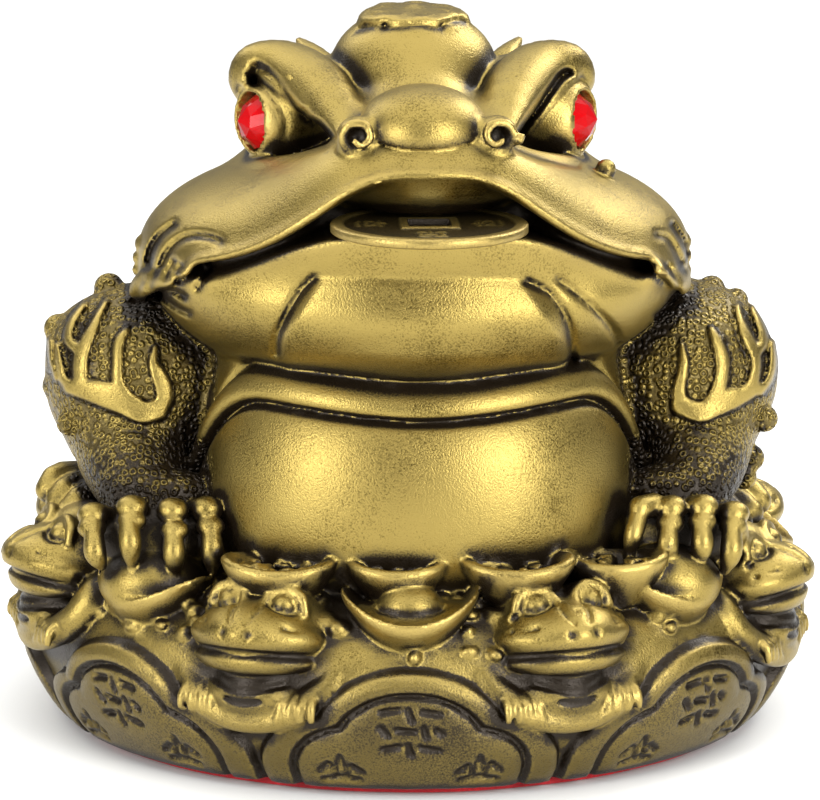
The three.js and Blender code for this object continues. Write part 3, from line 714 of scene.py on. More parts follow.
def base_wall(p):
    """Bowl with its eight petals, each worked out in a plane unrolled from the wall."""
    x, z = p[0], p[2]
    y = p[1] / np.interp(z, [1, 16], [FOOT_DEPTH, DEPTH])
    r = np.hypot(x, y)
    turn = (np.arctan2(x, -y) / STEP + 100.5) % 1 - 0.5
    px = turn * STEP * PETAL_REACH
    edge = petal_edge(px, z)
    inner = 0.76 * petal_edge(px / 0.76, 5 + (z - 5) / 0.76)
    band = 1.7 * smoothstep(edge, 0.35, -0.6) + 0.3 * smoothstep(edge, -0.7, -1.8)
    line = 1.0 * np.exp(-((inner / 0.4) ** 2))
    panel = 0.3 * smoothstep(inner, -0.6, -2.4) - 0.35 * smoothstep(inner, 0.6, -0.4)
    cuts = 0
    for a, b in STROKES:
        cuts = np.maximum(cuts, scratch(px, z, a, b))
    for side in (-1, 1):
        for a, b in SPRAY:
            cuts = np.maximum(cuts, 0.85 * scratch(side * px - SPRAY_AT[0], z - SPRAY_AT[1], a, b, 0.34))
    out = band - line + panel - 0.85 * cuts * (inner < -0.3)
    wall = (r - np.interp(z, BOWL_AT, BOWL_OUT) - out) * 0.9
    return np.maximum(wall, np.maximum(UNDERSIDE - z, z - BOWL_TOP))


base.add(field(base_wall, (-59, -54, 1), (59, 54, 27)), 0.1)


def seat(angle, radius, lift=0):
    """Way into the frame of a place on the base: x along the edge, -y outwards, heights kept."""
    middle = column((radius * math.sin(angle), -radius * DEPTH * math.cos(angle), lift))
    back = spin((0, 0, math.degrees(angle))).T
    return lambda q: np.tensordot(back, q - middle, axes=(1, 0))


# Boat-shaped ingots: a neck that flares into a dish, its rim swept up at both ends, a dome on the deck
ingot = Carving()


def dish(p):
    """Oval dish on its neck, the deck inside it sunk round a rise."""
    x, y, z = p
    r = np.sqrt(x * x + (y / 0.78) ** 2)
    drop = z - 23.6 - 0.041 * x * x * smoothstep(z, 17, 22)
    wall = np.interp(drop, [-6, -4.6, -3.2, -2, -1.2, -0.3], [5.2, 5.6, 6.8, 8.1, 8.8, 9.1])
    deck = np.interp(r / 8.8, [0, 0.45, 0.62, 0.8, 0.9, 0.98], [1.2, 1, 0.2, -0.6, -0.4, 0.2])
    return np.maximum(-smooth_union(-(r - wall) * 0.72, -(drop - deck) * 0.85, 0.5), 14 - z)


ingot.add(field(dish, (-10, -8, 14), (10, 8, 30)), 0.1)
ingot.add(ball((0, 0, 23.6), (4.6, 4.1, 4.1)), 0.2)
ring = [(4.8 * math.cos(a), 4.3 * math.sin(a), 24.4) for a in np.arange(0, 6.3, 0.48)]
ingot.press(cord(ring, 0, 1), 0.5, 0.4)

# Small toads: wide lips, bulging eyes, ringed nostrils, folded throat, round belly and toed forefeet
small = Carving()
for at, radii, tip, blend in (
    ((0, 2.6, 18.6), (10.4, 8, 6.6), 0, 0.1),
    ((0, -1, 21.4), (9, 8.4, 4.8), 0, 0.8),
    ((0, -4.6, 13.6), (7, 6.2, 4.6), 0, 0.6),
    ((0, -2.4, 12), (10.2, 6, 3.2), 0, 0.5),
    ((0, -4.8, 18.3), (8.6, 6.7, 2.9), 0, 0.6),
    ((0, -5, 20.9), (9.2, 7.2, 3.1), -8, 0.5),
    ((0, -7.8, 22), (5.2, 4.8, 2.3), -4, 1),
    ((0, -5.4, 22.6), (7, 6, 3.2), 0, 1),
):
    small.add(ball(at, radii, (tip, 0, 0)), blend)


def mirrored(*half):
    """Line from the left to the middle, carried on to the right as its mirror image."""
    return [*half, *((-x, y, z) for x, y, z in half[-2::-1])]


MOUTH = mirrored((-9, -3.2, 17.8), (-7.8, -7.2, 18.9), (-4.2, -10.6, 19.8), (0, -12, 20.1))
small.press(cord(MOUTH, 0, 3), 0.7, 0.45)
small.press(cord([(x, y - 0.2, z + 0.9) for x, y, z in MOUTH], 0, 3), -0.3, 0.5)
small.press(cord([(x, y + 0.2, z - 1) for x, y, z in MOUTH], 0, 3), -0.25, 0.5)
for x, y, z in rounded(MOUTH, 2):
    small.add(ball((x, y - 0.1, z + 1.9), 0.6), 0.2)
small.press(cord([(-5.4, -9.2, 23), (-7.4, -7.4, 21.8), (-8.6, -5.2, 20.6)], 0, 3), 0.5, 0.35, both=True)
small.press(cord([(-1, -11.2, 23.4), (-1.7, -9.4, 24.6), (-1.6, -7, 25.2)], 0, 3), 0.45, 0.35, both=True)
for z, w in ((16.2, 6.8), (14.7, 6.6), (13.2, 6)):
    crease = mirrored((-w, -5.6, z + 0.8), (-w / 2, -9.2, z + 0.2), (0, -10.6, z - 0.2))
    small.press(cord(crease, 0, 3), 0.8, 0.5)
small.press(cord(mirrored((-5, -6.4, 13), (-2.6, -9, 12), (0, -9.6, 11.7)), 0, 3), 0.5, 0.45)
small.add(ball((-3.7, -3.4, 24.4), (3, 3.6, 2.7)), 0.7, both=True)
small.press(ball((-3.8, -5.9, 24.9), (1.9, 1.5, 1.6)), 0.6, 0.4, both=True)
small.add(ball((-3.8, -5.3, 25), (1.7, 1.7, 1.6)), 0.15, both=True)
brow = [(-6.8, -5.2, 24.2), (-5.9, -4.6, 26.2), (-3.7, -4.4, 27), (-1.7, -5.2, 26), (-1.2, -7.2, 24.6)]
small.add(cord(brow, [0.6, 0.8, 0.8, 0.8, 0.6], 3), 0.3, both=True)
for x, y, z, r in (
    (-1.8, -11.8, 22.4, 0.6), (1.8, -11.8, 22.4, 0.6), (0.2, -8.6, 24.2, 0.5), (-6.9, -5.2, 23.6, 0.5),
    (-7.6, -6.4, 21.8, 0.5),
):
    small.add(ball((x, y + 0.6, z - 0.2), r + 0.4), 0.3)
    small.press(ball((x, y - 0.3, z + 0.2), r * 0.5), 0.5, 0.3)
foreleg = [(-8, 1, 18.6), (-10.4, -2.4, 17.4), (-10.2, -5, 15), (-7.9, -7, 13.4)]
small.add(cord(foreleg, [3, 2.8, 2.2, 1.6], 3), 0.5, both=True)
for dx in (-1.8, -0.6, 0.6, 1.8):
    toe = [(-7.1 + dx, -7.4, 13.8), (-7.1 + 1.15 * dx, -8.9, 12.8), (-7.1 + 1.25 * dx, -9.2, 11.3)]
    small.add(cord(toe, [0.75, 0.7, 0.5], 2), 0.12, both=True)
for i in range(30):
    t = 2.4 * i
    at = (-9.9 + 0.9 * math.sin(t), -5 + 0.38 * i, 16 + 5.4 * abs(math.sin(1.3 * t)))
    small.add(ball(at, 0.8 + 0.3 * (i % 3)), 0.25, both=True)
foot = mirrored((-10.8, -4.6, 14), (-8, -7.2, 11.6), (-4, -8.6, 10.2), (0, -9, 9.8))
small.add(cord(foot, [0.9, 1.1, 1.2, 1.2, 1.2, 1.1, 0.9], 3), 1.4)

# The small toads at the sides and behind sit higher, on a hump
hump = Carving()
hump.add(ball((0, -1.4, 26), (6.4, 6, 5.4)), 0.1)

# Bowls heaped with nuggets, pushed against the belly
rng = np.random.default_rng(8)
bowls = Carving()


def oblong(q):
    """Squeezes a turned form to an oval whose ends sweep up."""
    return np.stack([q[0], q[1] / 0.72, q[2] - 0.02 * q[0] ** 2])


BOWL_PLACES = ((-17, -40, 28, 7.6), (-1.6, -40.8, 28, 6.6), (14, -40.6, 28.2, 7.6), (27, -36.4, 27.8, 7))
for x, y, z, wide in BOWL_PLACES:
    outside = [[0, -4.8], [2.8, -4.8], [wide - 2, -2.2], [wide - 0.5, -0.4], [wide, 0.8]]
    outline = [*outside, [wide - 0.6, 1.4], [wide - 1.7, 1], [wide - 2.3, -0.4], [0, -0.8]]
    bowls.add(turned(outline, (x, y, z), 0.25, oblong), 0.3)
    for _ in range(30):
        r, a = (wide - 1.9) * math.sqrt(rng.random()), 2 * math.pi * rng.random()
        at = (x + r * math.cos(a), y + 0.72 * r * math.sin(a), z + 0.1 + 0.5 * rng.random() + 0.01 * r * r)
        radii = (0.9 + 0.5 * rng.random(), 0.8, 0.6)
        turn = (30 * rng.random(), 40 * rng.random(), 180 * rng.random())
        bowls.add(ball(at, radii, turn), 0.12)

# The ingots under the hands are heaped higher, up to the claws
for x in (-34.4, 34.4):
    bowls.add(ball((x, -31, 24.8), (7.2, 6.4, 5)), 0.4)

# Rough ground between the ingots, the small toads and the toad's body
for _ in range(420):
    a, z = 2 * math.pi * rng.random(), 18.6 + 7 * rng.random() ** 0.6
    r = np.interp(z, BOWL_AT, BOWL_OUT) - (5 * rng.random() if z > 25 else 0)
    at = (r * math.sin(a), -r * DEPTH * math.cos(a), min(z, BOWL_TOP - 0.1))
    radii = (0.8 + 0.9 * rng.random(), 0.8 + 0.6 * rng.random(), 0.7 + 0.5 * rng.random())
    bowls.add(ball(at, radii, (0, 0, 180 * rng.random())), 0.25)

# Each group's carving, the way into its own frame, a ball that holds it as middle and reach, and its blend
GROUPS = [(base, lambda q: q, (0, 0, 13), 62, 0.4), (bowls, lambda q: q, (0, 0, 24), 62, 0.35)]
INGOT_SEAT = 48
TOAD_SEATS = [(46.5, 0), (47.2, 1.8), (47.2, 3), (46.5, 3), (46.5, 3), (47.2, 3), (47.7, 4.2), (46.5, 0)]
for i, (radius, lift) in enumerate(TOAD_SEATS):
    seated = [(ingot, i * STEP, INGOT_SEAT, 13, 0), (small, (i + 0.5) * STEP, radius, 19, lift)]
    if math.cos((i + 0.5) * STEP) < 0.7:
        seated.append((hump, (i + 0.5) * STEP, 46.5, 14, lift - 3))
    for group, a, radius, reach, up in seated:
        middle = (radius * math.sin(a), -radius * DEPTH * math.cos(a), 21 + up)
        GROUPS.append((group, seat(a, radius, up), middle, reach, 0.3))
turn_back = spin((0, 0, TOAD_TURN)).T


def toad_place(q):
    return np.tensordot(turn_back, q, axes=(1, 0)) + column((0, 0, TOAD_SINK))


GROUPS.append((toad, toad_place, (0, 0, 55), 90, 0.5))


def figure(p, centres, half):
    """Distance to the whole casting at blocks of points, given each block's centre and half its diagonal."""
    d = np.full(p.shape[1:], FAR, np.float32)
    for group, place, middle, reach, blend in GROUPS:
        away = centres - np.array(middle, np.float32)[:, None]
        near = np.sqrt((away * away).sum(0)) < reach + half
        if not near.any():
            continue
        q, c = place(p[:, near]), place(centres[:, near][:, :, None])[:, :, 0]
        d[near] = smooth_union(d[near], group.distance(q.astype(np.float32), c, half), blend)
    return d


# The distance is worked out on a coarse grid first, then finely in the blocks that the surface crosses
CELL = 0.36
BLOCK = 8
LOW = np.array((-59.5, -54.5, 0.2), np.float32)
HIGH = np.array((59.5, 54.5, 101.2))
COUNT = np.ceil((HIGH - LOW) / (CELL * BLOCK)).astype(int)
steps = np.stack(np.meshgrid(*[np.arange(n) for n in COUNT], indexing="ij")).reshape(3, -1)
middles = (LOW[:, None] + (steps + 0.5 - 0.5 / BLOCK) * CELL * BLOCK).astype(np.float32)
HALF_DIAGONAL = CELL * BLOCK * 0.87


def in_parallel(work, total, size):
    """Does the work on slices of that size, four at a time."""
    with ThreadPoolExecutor(4) as pool:
        return list(pool.map(work, [slice(i, min(i + size, total)) for i in range(0, total, size)]))


def rough_distance(s):
    return figure(middles[:, s, None], middles[:, s], 3.0)[:, 0]


coarse = np.concatenate(in_parallel(rough_distance, middles.shape[1], 2048))
near = np.abs(coarse) < HALF_DIAGONAL * 1.35 + 0.9
grid = np.repeat(np.repeat(np.repeat(coarse.reshape(COUNT), BLOCK, 0), BLOCK, 1), BLOCK, 2)
active = np.nonzero(near)[0]
offsets = np.stack(np.meshgrid(*[np.arange(BLOCK)] * 3, indexing="ij")).reshape(3, -1)
offsets = ((offsets - (BLOCK - 1) / 2) * CELL).astype(np.float32)


def fine(s):
    """Fills some of the active blocks of the grid."""
    blocks = active[s]
    c = middles[:, blocks]
    values = figure(c[:, :, None] + offsets[:, None, :], c, HALF_DIAGONAL)
    for n, b in enumerate(blocks):
        i, j, k = steps[:, b] * BLOCK
        grid[i : i + BLOCK, j : j + BLOCK, k : k + BLOCK] = values[n].reshape(BLOCK, BLOCK, BLOCK)


in_parallel(fine, len(active), 96)


def surface(f):
    """Quad mesh of the zero level, one vertex in each cell that it passes through."""
    stride = np.array([f.shape[1] * f.shape[2], f.shape[2], 1])
    flat = f.ravel()
    edges, spots = [], []
    for axis in range(3):
        first = [slice(1, -1)] * 3
        first[axis] = slice(0, -1)
        second = list(first)
        second[axis] = slice(1, None)
        low, high = f[tuple(first)], f[tuple(second)]
        origin = np.array(np.nonzero((low < 0) != (high < 0))) + np.array([[s.start] for s in first])
        index = (origin * stride[:, None]).sum(0)
        spot = origin.astype(float)
        spot[axis] += flat[index] / (flat[index] - flat[index + stride[axis]])
        u, v = stride[(axis + 1) % 3], stride[(axis + 2) % 3]
        round_it = np.stack([index - u - v, index - v, index, index - u])
        edges.append(np.where(flat[index] < 0, round_it, round_it[::-1]))
        spots.append(spot)
    edges, spots = np.concatenate(edges, 1), np.concatenate(spots, 1)
    cells, order = np.unique(edges, return_inverse=True)
    order = order.reshape(edges.shape)
    points = np.zeros((len(cells), 3))
    for k in range(3):
        points[:, k] = sum(np.bincount(row, spots[k], len(cells)) for row in order)
    points /= sum(np.bincount(row, minlength=len(cells)) for row in order)[:, None]
    return points, order.T


points, quads = surface(grid)
points = LOW + points * CELL


def new_object(name, vertices, faces, smooth=True):
    mesh = bpy.data.meshes.new(name)
    mesh.from_pydata([tuple(v) for v in vertices], [], [tuple(f) for f in faces])
    mesh.validate()
    if smooth:
        mesh.shade_smooth()
    else:
        mesh.shade_flat()
    made = bpy.data.objects.new(name, mesh)
    bpy.context.scene.collection.objects.link(made)
    return made


def baked(piece):
    """Turns the piece's modifiers into its mesh."""
    graph = bpy.context.evaluated_depsgraph_get()
    mesh = bpy.data.meshes.new_from_object(piece.evaluated_get(graph))
    piece.modifiers.clear()
    piece.data = mesh


casting = new_object("toad_casting_carved", points * SHARE, quads)
TRIANGLES = 196000
thin = casting.modifiers.new("thin", "DECIMATE")
thin.ratio = min(1, TRIANGLES / (2 * len(quads)))
baked(casting)
casting.data.shade_smooth()


# How deep in a hollow each point lies, from the distances a little way out along its normal; it darkens
# the brass both as the patina left in hollows and as painted shade
def sample(values, at):
    """Grid values at points between its own."""
    cell = np.clip((at - LOW) / CELL, 0, np.array(values.shape) - 1.001)
    low = cell.astype(int)
    t = cell - low
    found = 0
    for corner in range(8):
        pick = [(corner >> k) & 1 for k in range(3)]
        weight = np.prod([t[:, k] if pick[k] else 1 - t[:, k] for k in range(3)], axis=0)
        found = found + weight * values[low[:, 0] + pick[0], low[:, 1] + pick[1], low[:, 2] + pick[2]]
    return found


def attribute(piece, name, values):
    made = piece.data.attributes.new(name, "FLOAT", "POINT")
    made.data.foreach_set("value", np.ascontiguousarray(values, np.float32))


def read(piece, source, kind, width):
    got = np.zeros(len(source) * width, np.float32)
    source.foreach_get(kind, got)
    return got.reshape(-1, width)


spots = read(casting, casting.data.vertices, "co", 3) / SHARE
normals = read(casting, casting.data.vertices, "normal", 3)
slope = np.clip((sample(grid, spots + normals * 0.4) - sample(grid, spots - normals * 0.4)) / 0.8, 0.3, 3)
shut, sharp = 0, 0
# Patina and painted shade: how closed in each point is, out to 4.5 shares
for reach, weight in ((0.8, 0.4), (1.6, 0.6), (2.8, 0.6), (4.5, 0.4)):
    shut = shut + weight * np.clip(1 - sample(grid, spots + normals * reach) / (reach * slope), 0, 1.5)
for reach in (0.8, 1.6):
    sharp = sharp + 0.5 * np.clip(1 + sample(grid, spots - normals * reach) / (reach * slope), 0, 1)
attribute(casting, "edge", np.clip(sharp, 0, 1))

# Patina is also left in the pits of the scaly arms and wrists. Painted shade is added round the wrists and
# on the mouth's inner wall, a painted shadow under the coin, and patina with painted shade low on the petals
local = toad_place(spots.T[:, :, None].astype(np.float32))
folded = np.stack([-np.abs(local[0]), local[1], local[2]])
arms = ball((-37.6, -10, 48), (15.5, 15, 18))[0](folded)[:, 0]
wrists = ball((-36, -20, 38), (12, 10, 8))[0](folded)[:, 0]
arms = np.minimum(arms, wrists)
bare = flames(local)[:, 0]
attribute(casting, "scaly", np.clip(-arms / 1.2, 0, 1) * np.clip(bare / 0.4, 0, 1))
# Painted shade on the mouth's inner wall
mouth_wall_shade = np.clip(1 - np.abs(gullet(local)[:, 0]) / 0.5, 0, 1) * (local[1, :, 0] < -10)
# Darker towards the bottom, less on sharp edges: patina and painted shade of the downward-facing base
low_patina_and_shade = 0.4 * smoothstep(spots[:, 2], 25, 10) * (1 - 0.7 * np.clip(2 * sharp, 0, 1))
# Painted shadow on the lip under the coin
x, y, z = np.tensordot(lean, local - column(COIN_CENTRE), axes=(1, 0))[:, :, 0]
painted_coin_shadow = smoothstep(np.hypot(x, y), 12.6, 11) * smoothstep(np.abs(z), 2.2, 1.4)
# Painted shade, with some patina low down, added to the hollow value: wrists, mouth, under the coin, low
# base
extra_shade_and_patina = low_patina_and_shade + 1.1 * mouth_wall_shade + 0.7 * painted_coin_shadow + 0.4 * np.clip(-wrists / 3, 0, 1)
attribute(casting, "hollow", np.clip(shut / 1.7 + extra_shade_and_patina, 0, 1))


def linear(colour):
    """sRGB hex to the linear values that a shader takes."""
    parts = [int(colour[i : i + 2], 16) / 255 for i in (1, 3, 5)]
    return [c / 12.92 if c <= 0.04045 else ((c + 0.055) / 1.055) ** 2.4 for c in parts] + [1]


def new_material(name):
    made = bpy.data.materials.new(name)
    made.use_nodes = True
    made.node_tree.nodes.clear()
    return made, made.node_tree


def node(tree, kind, settings=None, links=None, fixed=None, **values):
    """Adds a node: its own settings, sockets fed by others, and sockets fixed by place or by name."""
    made = tree.nodes.new("ShaderNode" + kind)
    for key, value in (settings or {}).items():
        setattr(made, key, value)
    for key, value in (fixed or {}).items():
        made.inputs[key].default_value = value
    for key, value in values.items():
        made.inputs[key.replace("_", " ")].default_value = value
    for key, source in (links or {}).items():
        tree.links.new(source, made.inputs[key])
    return made


# Antique brass, sand-cast, blackened and rubbed: dull gold with a sandy grain, black left in the hollows
# and in the ringed pits of the arms, bright yellow on worn edges. The same black is also painted shade in
# the hollows, in the mouth, under the coin and low on the base
# Widths are of a patch of patina, of a grain of the moulding sand and of a pit
CLOUD_MM = 14.286
SAND_MM = 0.27778
PIT_MM = 1.1628
# Colour of the patina, used also as painted shade
PATINA_AND_SHADE = "#21180b"
RUBBED = "#c4ab66"
brass, tree = new_material("antique_brass")
place = node(tree, "TexCoord").outputs["Object"]
hollow, edge, scaly = (
    node(tree, "Attribute", {"attribute_name": name}).outputs["Fac"] for name in ("hollow", "edge", "scaly")
)
clouds = node(tree, "TexNoise", links={"Vector": place}, Scale=1000 / CLOUD_MM, Detail=5.0, Roughness=0.6)
grains = node(tree, "TexNoise", links={"Vector": place}, Scale=1000 / SAND_MM, Detail=2.0, Roughness=0.6)
cloud = clouds.outputs["Fac"]
sand = grains.outputs["Fac"]
pits = node(tree, "TexVoronoi", links={"Vector": place}, Scale=1000 / PIT_MM, Randomness=0.7)
clouded = node(tree, "Math", {"operation": "MULTIPLY_ADD"}, {0: cloud, 2: hollow}, {1: 0.3})
grainy = node(tree, "Math", {"operation": "MULTIPLY_ADD"}, {0: sand, 2: clouded.outputs[0]}, {1: 0.55})
eased = {"interpolation_type": "SMOOTHSTEP"}
# Patina and painted shade: the hollow value with cloudy and sandy noise, eased
patina_and_shade = node(tree, "MapRange", eased, {"Value": grainy.outputs[0]}, From_Min=0.5, From_Max=1.05)
rim = node(tree, "ValToRGB", links={"Fac": pits.outputs["Distance"]})
rim.color_ramp.interpolation = "EASE"
rim.color_ramp.elements.new(0.36)
for stop, at, grey in zip(rim.color_ramp.elements, (0.16, 0.36, 0.66), (1, 0, 0.9)):
    stop.position = at
    stop.color = (grey, grey, grey, 1)
pitted = node(tree, "Math", {"operation": "MULTIPLY"}, {0: rim.outputs["Color"], 1: scaly})
clamped = {"operation": "MULTIPLY_ADD", "use_clamp": True}
dark = node(tree, "Math", clamped, {0: pitted.outputs[0], 2: patina_and_shade.outputs[0]}, {1: 0.7})
speckle = node(tree, "Math", {"operation": "ADD"}, {0: sand, 1: cloud})
tone = node(tree, "ValToRGB", links={"Fac": speckle.outputs[0]})
for stop, at, colour in zip(tone.color_ramp.elements, (0.68, 1), ("#54461f", "#9c884a")):
    stop.position = at
    stop.color = linear(colour)
rubbed = node(tree, "Math", {"operation": "MULTIPLY"}, {0: edge}, {1: 0.6})
colours = {"data_type": "RGBA"}
worn = node(tree, "Mix", colours, {"Factor": rubbed.outputs[0], "A": tone.outputs[0]}, B=linear(RUBBED))
# Lays the patina colour, which is also the painted shade, over the brass
patina_and_shade_coat = node(tree, "Mix", colours, {"Factor": dark.outputs[0], "A": worn.outputs["Result"]}, B=linear(PATINA_AND_SHADE))
rough = node(tree, "MapRange", links={"Value": sand}, To_Min=0.24, To_Max=0.5)
metal = node(tree, "MapRange", links={"Value": dark.outputs[0]}, To_Min=1.0, To_Max=0.55)
grain = node(tree, "Bump", links={"Height": sand}, Strength=0.4, Distance=0.0002)
dented = {"Height": pitted.outputs[0], "Normal": grain.outputs[0]}
pit_bump = node(tree, "Bump", {"invert": True}, dented, Strength=0.9, Distance=0.0005)
finish = {"Base Color": patina_and_shade_coat.outputs["Result"], "Metallic": metal.outputs[0]}
finish.update({"Roughness": rough.outputs[0], "Normal": pit_bump.outputs[0]})
shader = node(tree, "BsdfPrincipled", links=finish)
node(tree, "OutputMaterial", links={"Surface": shader.outputs[0]})
casting.data.materials.append(brass)
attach(casting, "root")
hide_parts("toad_casting")


# Eye gems
# Round stones of red crystal glass with a foiled back, cut with a point in front and two rows of facets.
# Each is glued into the socket ring of its eye and looks outwards.
STONE = 4.0
STONE_HIGH = 2.9
STONE_DEEP = 1.2

# Red crystal glass, cut and polished, foiled behind: deep red with painted shade darkening it to the rim,
# with small glints
glass, tree = new_material("red_crystal_glass")
# Painted shade: the red darkens as the facets turn away from the camera
facing = node(tree, "LayerWeight", Blend=0.35).outputs["Facing"]
red = node(tree, "ValToRGB", links={"Fac": facing})
for stop, colour in zip(red.color_ramp.elements, ("#c0080f", "#560206")):
    stop.color = linear(colour)
polish = {"Roughness": 0.05, "IOR": 1.56, "Specular IOR Level": 0.12}
sparkle = node(tree, "BsdfPrincipled", links={"Base Color": red.outputs["Color"]}, fixed=polish)
node(tree, "OutputMaterial", links={"Surface": sparkle.outputs[0]})


def on_toad(points):
    """Places points in the toad's frame, in shares, as metres in the figure's."""
    moved = np.array(points) @ turn_back - (0, 0, TOAD_SINK)
    return moved * SHARE


across = np.cross(GEM_OUT, (0, 0, 1))
across = across / np.linalg.norm(across)
stone_axes = np.array([across, np.cross(across, GEM_OUT), GEM_OUT])
cut_points = [(0, 0, STONE_HIGH)]
for count, turn, radius, high in (
    (8, 0.5, 0.58 * STONE, 0.64 * STONE_HIGH),
    (16, 0, 0.985 * STONE, 0.12),
    (16, 0, STONE, -0.12),
    (8, 0, 0.78 * STONE, -STONE_DEEP),
):
    for a in (np.arange(count) + turn) * 2 * math.pi / count:
        cut_points.append((radius * math.cos(a), radius * math.sin(a), high))
for side, name in ((1, "left"), (-1, "right")):
    corners = GEM_POINT + np.array(cut_points) @ stone_axes * MM
    shell = bmesh.new()
    for corner in on_toad(corners * (side, 1, 1)):
        shell.verts.new(corner)
    bmesh.ops.convex_hull(shell, input=shell.verts)
    bmesh.ops.recalc_face_normals(shell, faces=shell.faces)
    gem = bpy.data.objects.new(f"eye_gem_{name}_cut", bpy.data.meshes.new(f"eye_gem_{name}_cut"))
    shell.to_mesh(gem.data)
    shell.free()
    bpy.context.scene.collection.objects.link(gem)
    gem.data.materials.append(glass)
    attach(gem, "root")
    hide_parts(f"eye_gem_{name}")

# Mouth coin
# A struck brass cash coin with a square hole, its rims worn bright; it lies loose on the lower lip.
# Short raised strokes that aren't letters stand where the real coin has four characters.
COIN_EDGE = 13.5
COIN_HALF = 0.7
HOLE_HALF = 2.8
RELIEF = 0.3
STROKE_ROW = 7.9
COIN_STROKES = [
    ((-1.7, 1.8), (-0.3, 1.9)), ((0.5, 2), (1.8, 1.7)), ((-1.5, 0.7), (-1.2, -0.4)),
    ((-0.4, 0.8), (0.9, 0.6)), ((1.6, 0.8), (1.5, -0.2)), ((-1.7, -1.2), (-0.5, -1)),
    ((0.2, -0.6), (0.3, -1.8)), ((0.9, -1.3), (1.9, -1.1)),
]
ROUND = 208
ROWS = 44
angles = np.arange(ROUND) * 2 * math.pi / ROUND
square = HOLE_HALF / np.maximum(np.abs(np.cos(angles)), np.abs(np.sin(angles)))
out = np.linspace(0, 1, ROWS)[:, None]
span = square * (1 - out) + COIN_EDGE * out
x, y = span * np.cos(angles), span * np.sin(angles)
r, box = np.hypot(x, y), np.maximum(np.abs(x), np.abs(y))
sunk = smoothstep(r, 12, 11.5) * smoothstep(box, 3.8, 4.2)
strokes = np.zeros_like(r)
for qx, qy in ((x, y), (-x, -y), (y, -x), (-y, x)):
    for a, b in COIN_STROKES:
        strokes = np.maximum(strokes, scratch(qx, qy - STROKE_ROW, a, b, 0.32))
bevel = 0.25 * smoothstep(r, COIN_EDGE - 0.4, COIN_EDGE) + 0.15 * smoothstep(box, HOLE_HALF + 0.2, HOLE_HALF)
high = COIN_HALF - RELIEF * sunk * (1 - 0.8 * strokes) - bevel
top = np.stack([x, y, high], -1)
under = np.stack([x, y, -high], -1)[::-1]
rows = np.concatenate([top, under]).reshape(-1, 3)
count = 2 * ROWS
ring = np.arange(count)[:, None] * ROUND + np.arange(ROUND)
beside = np.roll(ring, -1, axis=1)
quads = np.stack([ring, np.roll(ring, -1, axis=0), np.roll(beside, -1, axis=0), beside], -1).reshape(-1, 4)
coin = new_object("mouth_coin_struck", on_toad(rows * MM @ lean + COIN_CENTRE), quads)
both_sides = np.concatenate([sunk, sunk[::-1]]).ravel()
both_strokes = np.concatenate([strokes, strokes[::-1]]).ravel()
# Painted shade on the wall of the square hole; the sunk field keeps its patina
hole_wall_shade = np.zeros((count, ROUND))
hole_wall_shade[[0, -1]] = 1
hole_wall_shade = hole_wall_shade.ravel()
attribute(coin, "hollow", np.maximum(0.2 + 0.34 * both_sides * (1 - both_strokes), 0.95 * hole_wall_shade))
attribute(coin, "edge", 0.8 * (1 - both_sides) * (1 - hole_wall_shade))
attribute(coin, "scaly", np.zeros(len(both_sides)))
coin.data.materials.append(brass)
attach(coin, "root")
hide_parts("mouth_coin")

# Felt pad
# Red craft felt, cut round a little inside the foot of the bowl and glued under it so that the figure
# doesn't scratch a table; its edge shows as a thin red line.
FIBRE_MM = 0.5556
MOTTLE_MM = 11.11

# Red craft felt, needled: matt, with short tangled fibres and a faint sheen at its edge
felt, tree = new_material("red_craft_felt")
place = node(tree, "TexCoord").outputs["Object"]
fibre = node(tree, "TexNoise", links={"Vector": place}, Scale=1000 / FIBRE_MM, Detail=6.0, Roughness=0.75)
mottle = node(tree, "TexNoise", links={"Vector": place}, Scale=1000 / MOTTLE_MM, Detail=3.0)
mixed = node(tree, "Math", {"operation": "MULTIPLY"}, {0: fibre.outputs["Fac"], 1: mottle.outputs["Fac"]})
wool = node(tree, "ValToRGB", links={"Fac": mixed.outputs[0]})
for stop, at, colour in zip(wool.color_ramp.elements, (0.12, 0.4), ("#8c0c16", "#cf1c28")):
    stop.position = at
    stop.color = linear(colour)
nap = node(tree, "Bump", links={"Height": fibre.outputs["Fac"]}, Strength=0.6, Distance=0.0003)
weave = {"Base Color": wool.outputs["Color"], "Normal": nap.outputs[0]}
cloth = node(tree, "BsdfPrincipled", links=weave, Roughness=0.95, Sheen_Weight=0.4)
node(tree, "OutputMaterial", links={"Surface": cloth.outputs[0]})
FELT_RADIUS = 47.9
FELT_POINTS = 96
turns = np.arange(FELT_POINTS) * 2 * math.pi / FELT_POINTS
snips = 1 + 0.002 * np.sin(7 * turns) + 0.0015 * np.sin(17 * turns + 1)
rim_points = FELT_RADIUS * np.stack([snips * np.cos(turns), FOOT_DEPTH * snips * np.sin(turns)], -1)
lower = np.column_stack([rim_points, np.zeros(FELT_POINTS)])
upper = np.column_stack([rim_points, np.full(FELT_POINTS, UNDERSIDE)])
faces = [tuple(range(FELT_POINTS))[::-1], tuple(range(FELT_POINTS, 2 * FELT_POINTS))]
for i in range(FELT_POINTS):
    following = (i + 1) % FELT_POINTS
    faces.append((i, following, following + FELT_POINTS, i + FELT_POINTS))
pad = new_object("felt_pad_cut", np.vstack([lower, upper]) * SHARE, faces, smooth=False)
pad.data.materials.append(felt)
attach(pad, "root")
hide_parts("felt_pad")

# Studio
# A pale seamless floor under broad soft light from above, with two upright panels in front, two higher ones
# behind and a dim surround that is brighter overhead.
bpy.ops.mesh.primitive_plane_add(size=12, location=(0, 0, -0.0002))
floor = bpy.context.object
floor.name = "floor"

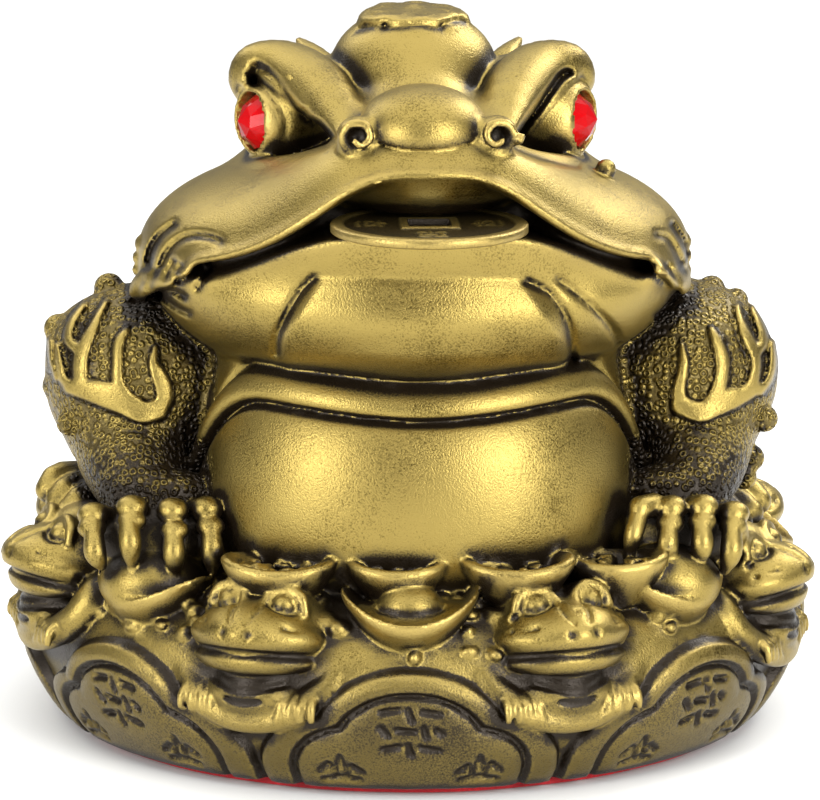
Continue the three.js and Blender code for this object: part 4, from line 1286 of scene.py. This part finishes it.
# Backdrop paper, coated matt: almost white, with a soft shadow under the figure
paper, tree = new_material("pale_paper")
matt = node(tree, "BsdfPrincipled", Roughness=0.85, Base_Color=linear("#f0f0ee"))
node(tree, "OutputMaterial", links={"Surface": matt.outputs[0]})
floor.data.materials.append(paper)


def panel(name, place, target, width, height, watts):
    """Soft white panel light that faces the target."""
    lamp = bpy.data.lights.new(name, "AREA")
    lamp.shape = "RECTANGLE"
    lamp.size = width
    lamp.size_y = height
    lamp.energy = watts
    made = bpy.data.objects.new(name, lamp)
    made.location = place
    made.rotation_euler = (Vector(target) - Vector(place)).to_track_quat("-Z", "Y").to_euler()
    bpy.context.scene.collection.objects.link(made)


panel("left_panel", (-0.4, -0.42, 0.2), (0, 0, 0.05), 0.2, 0.32, 2.2)
panel("right_panel", (0.36, -0.46, 0.22), (0, 0, 0.05), 0.24, 0.36, 3)
panel("right_back_panel", (0.42, 0.34, 0.5), (0, 0, 0.06), 0.26, 0.26, 2.4)
panel("left_back_panel", (-0.42, 0.34, 0.5), (0, 0, 0.06), 0.26, 0.26, 0.8)
sky = bpy.data.lights.new("sky_panel", "SUN")
sky.energy = 2.6
sky.angle = math.radians(90)
overhead = bpy.data.objects.new("sky_panel", sky)
bpy.context.scene.collection.objects.link(overhead)
world = bpy.data.worlds.new("surround")
bpy.context.scene.world = world
world.use_nodes = True
tree = world.node_tree
around = node(tree, "TexCoord").outputs["Generated"]
height = node(tree, "SeparateXYZ", links={"Vector": around}).outputs["Z"]
fade = node(tree, "MapRange", links={"Value": height}, From_Min=0.0, From_Max=0.7, To_Min=0.16, To_Max=0.5)
tree.links.new(fade.outputs[0], tree.nodes["Background"].inputs["Strength"])
tree.nodes["Background"].inputs["Color"].default_value = (1, 1, 1, 1)

# Camera
# Straight in front, 10.5 degrees above level, at the distance that the photo's perspective gives.
AWAY = 445 * SHARE
RISE = math.radians(10.5)
AIM = 43.7 * SHARE
SENSOR = 36
PHOTO_WIDTH_PIXELS = 820
FOCAL_PIXELS = 3120
camera = bpy.data.objects.new("camera", bpy.data.cameras.new("camera"))
bpy.context.scene.collection.objects.link(camera)
camera.location = (0, -AWAY * math.cos(RISE), AIM + AWAY * math.sin(RISE))
camera.rotation_euler = (math.radians(90) - RISE, 0, 0)
camera.data.sensor_width = SENSOR
camera.data.lens = SENSOR * FOCAL_PIXELS / PHOTO_WIDTH_PIXELS
camera.data.clip_start = 0.01
bpy.context.scene.camera = camera
bpy.context.scene.view_settings.view_transform = "Standard"
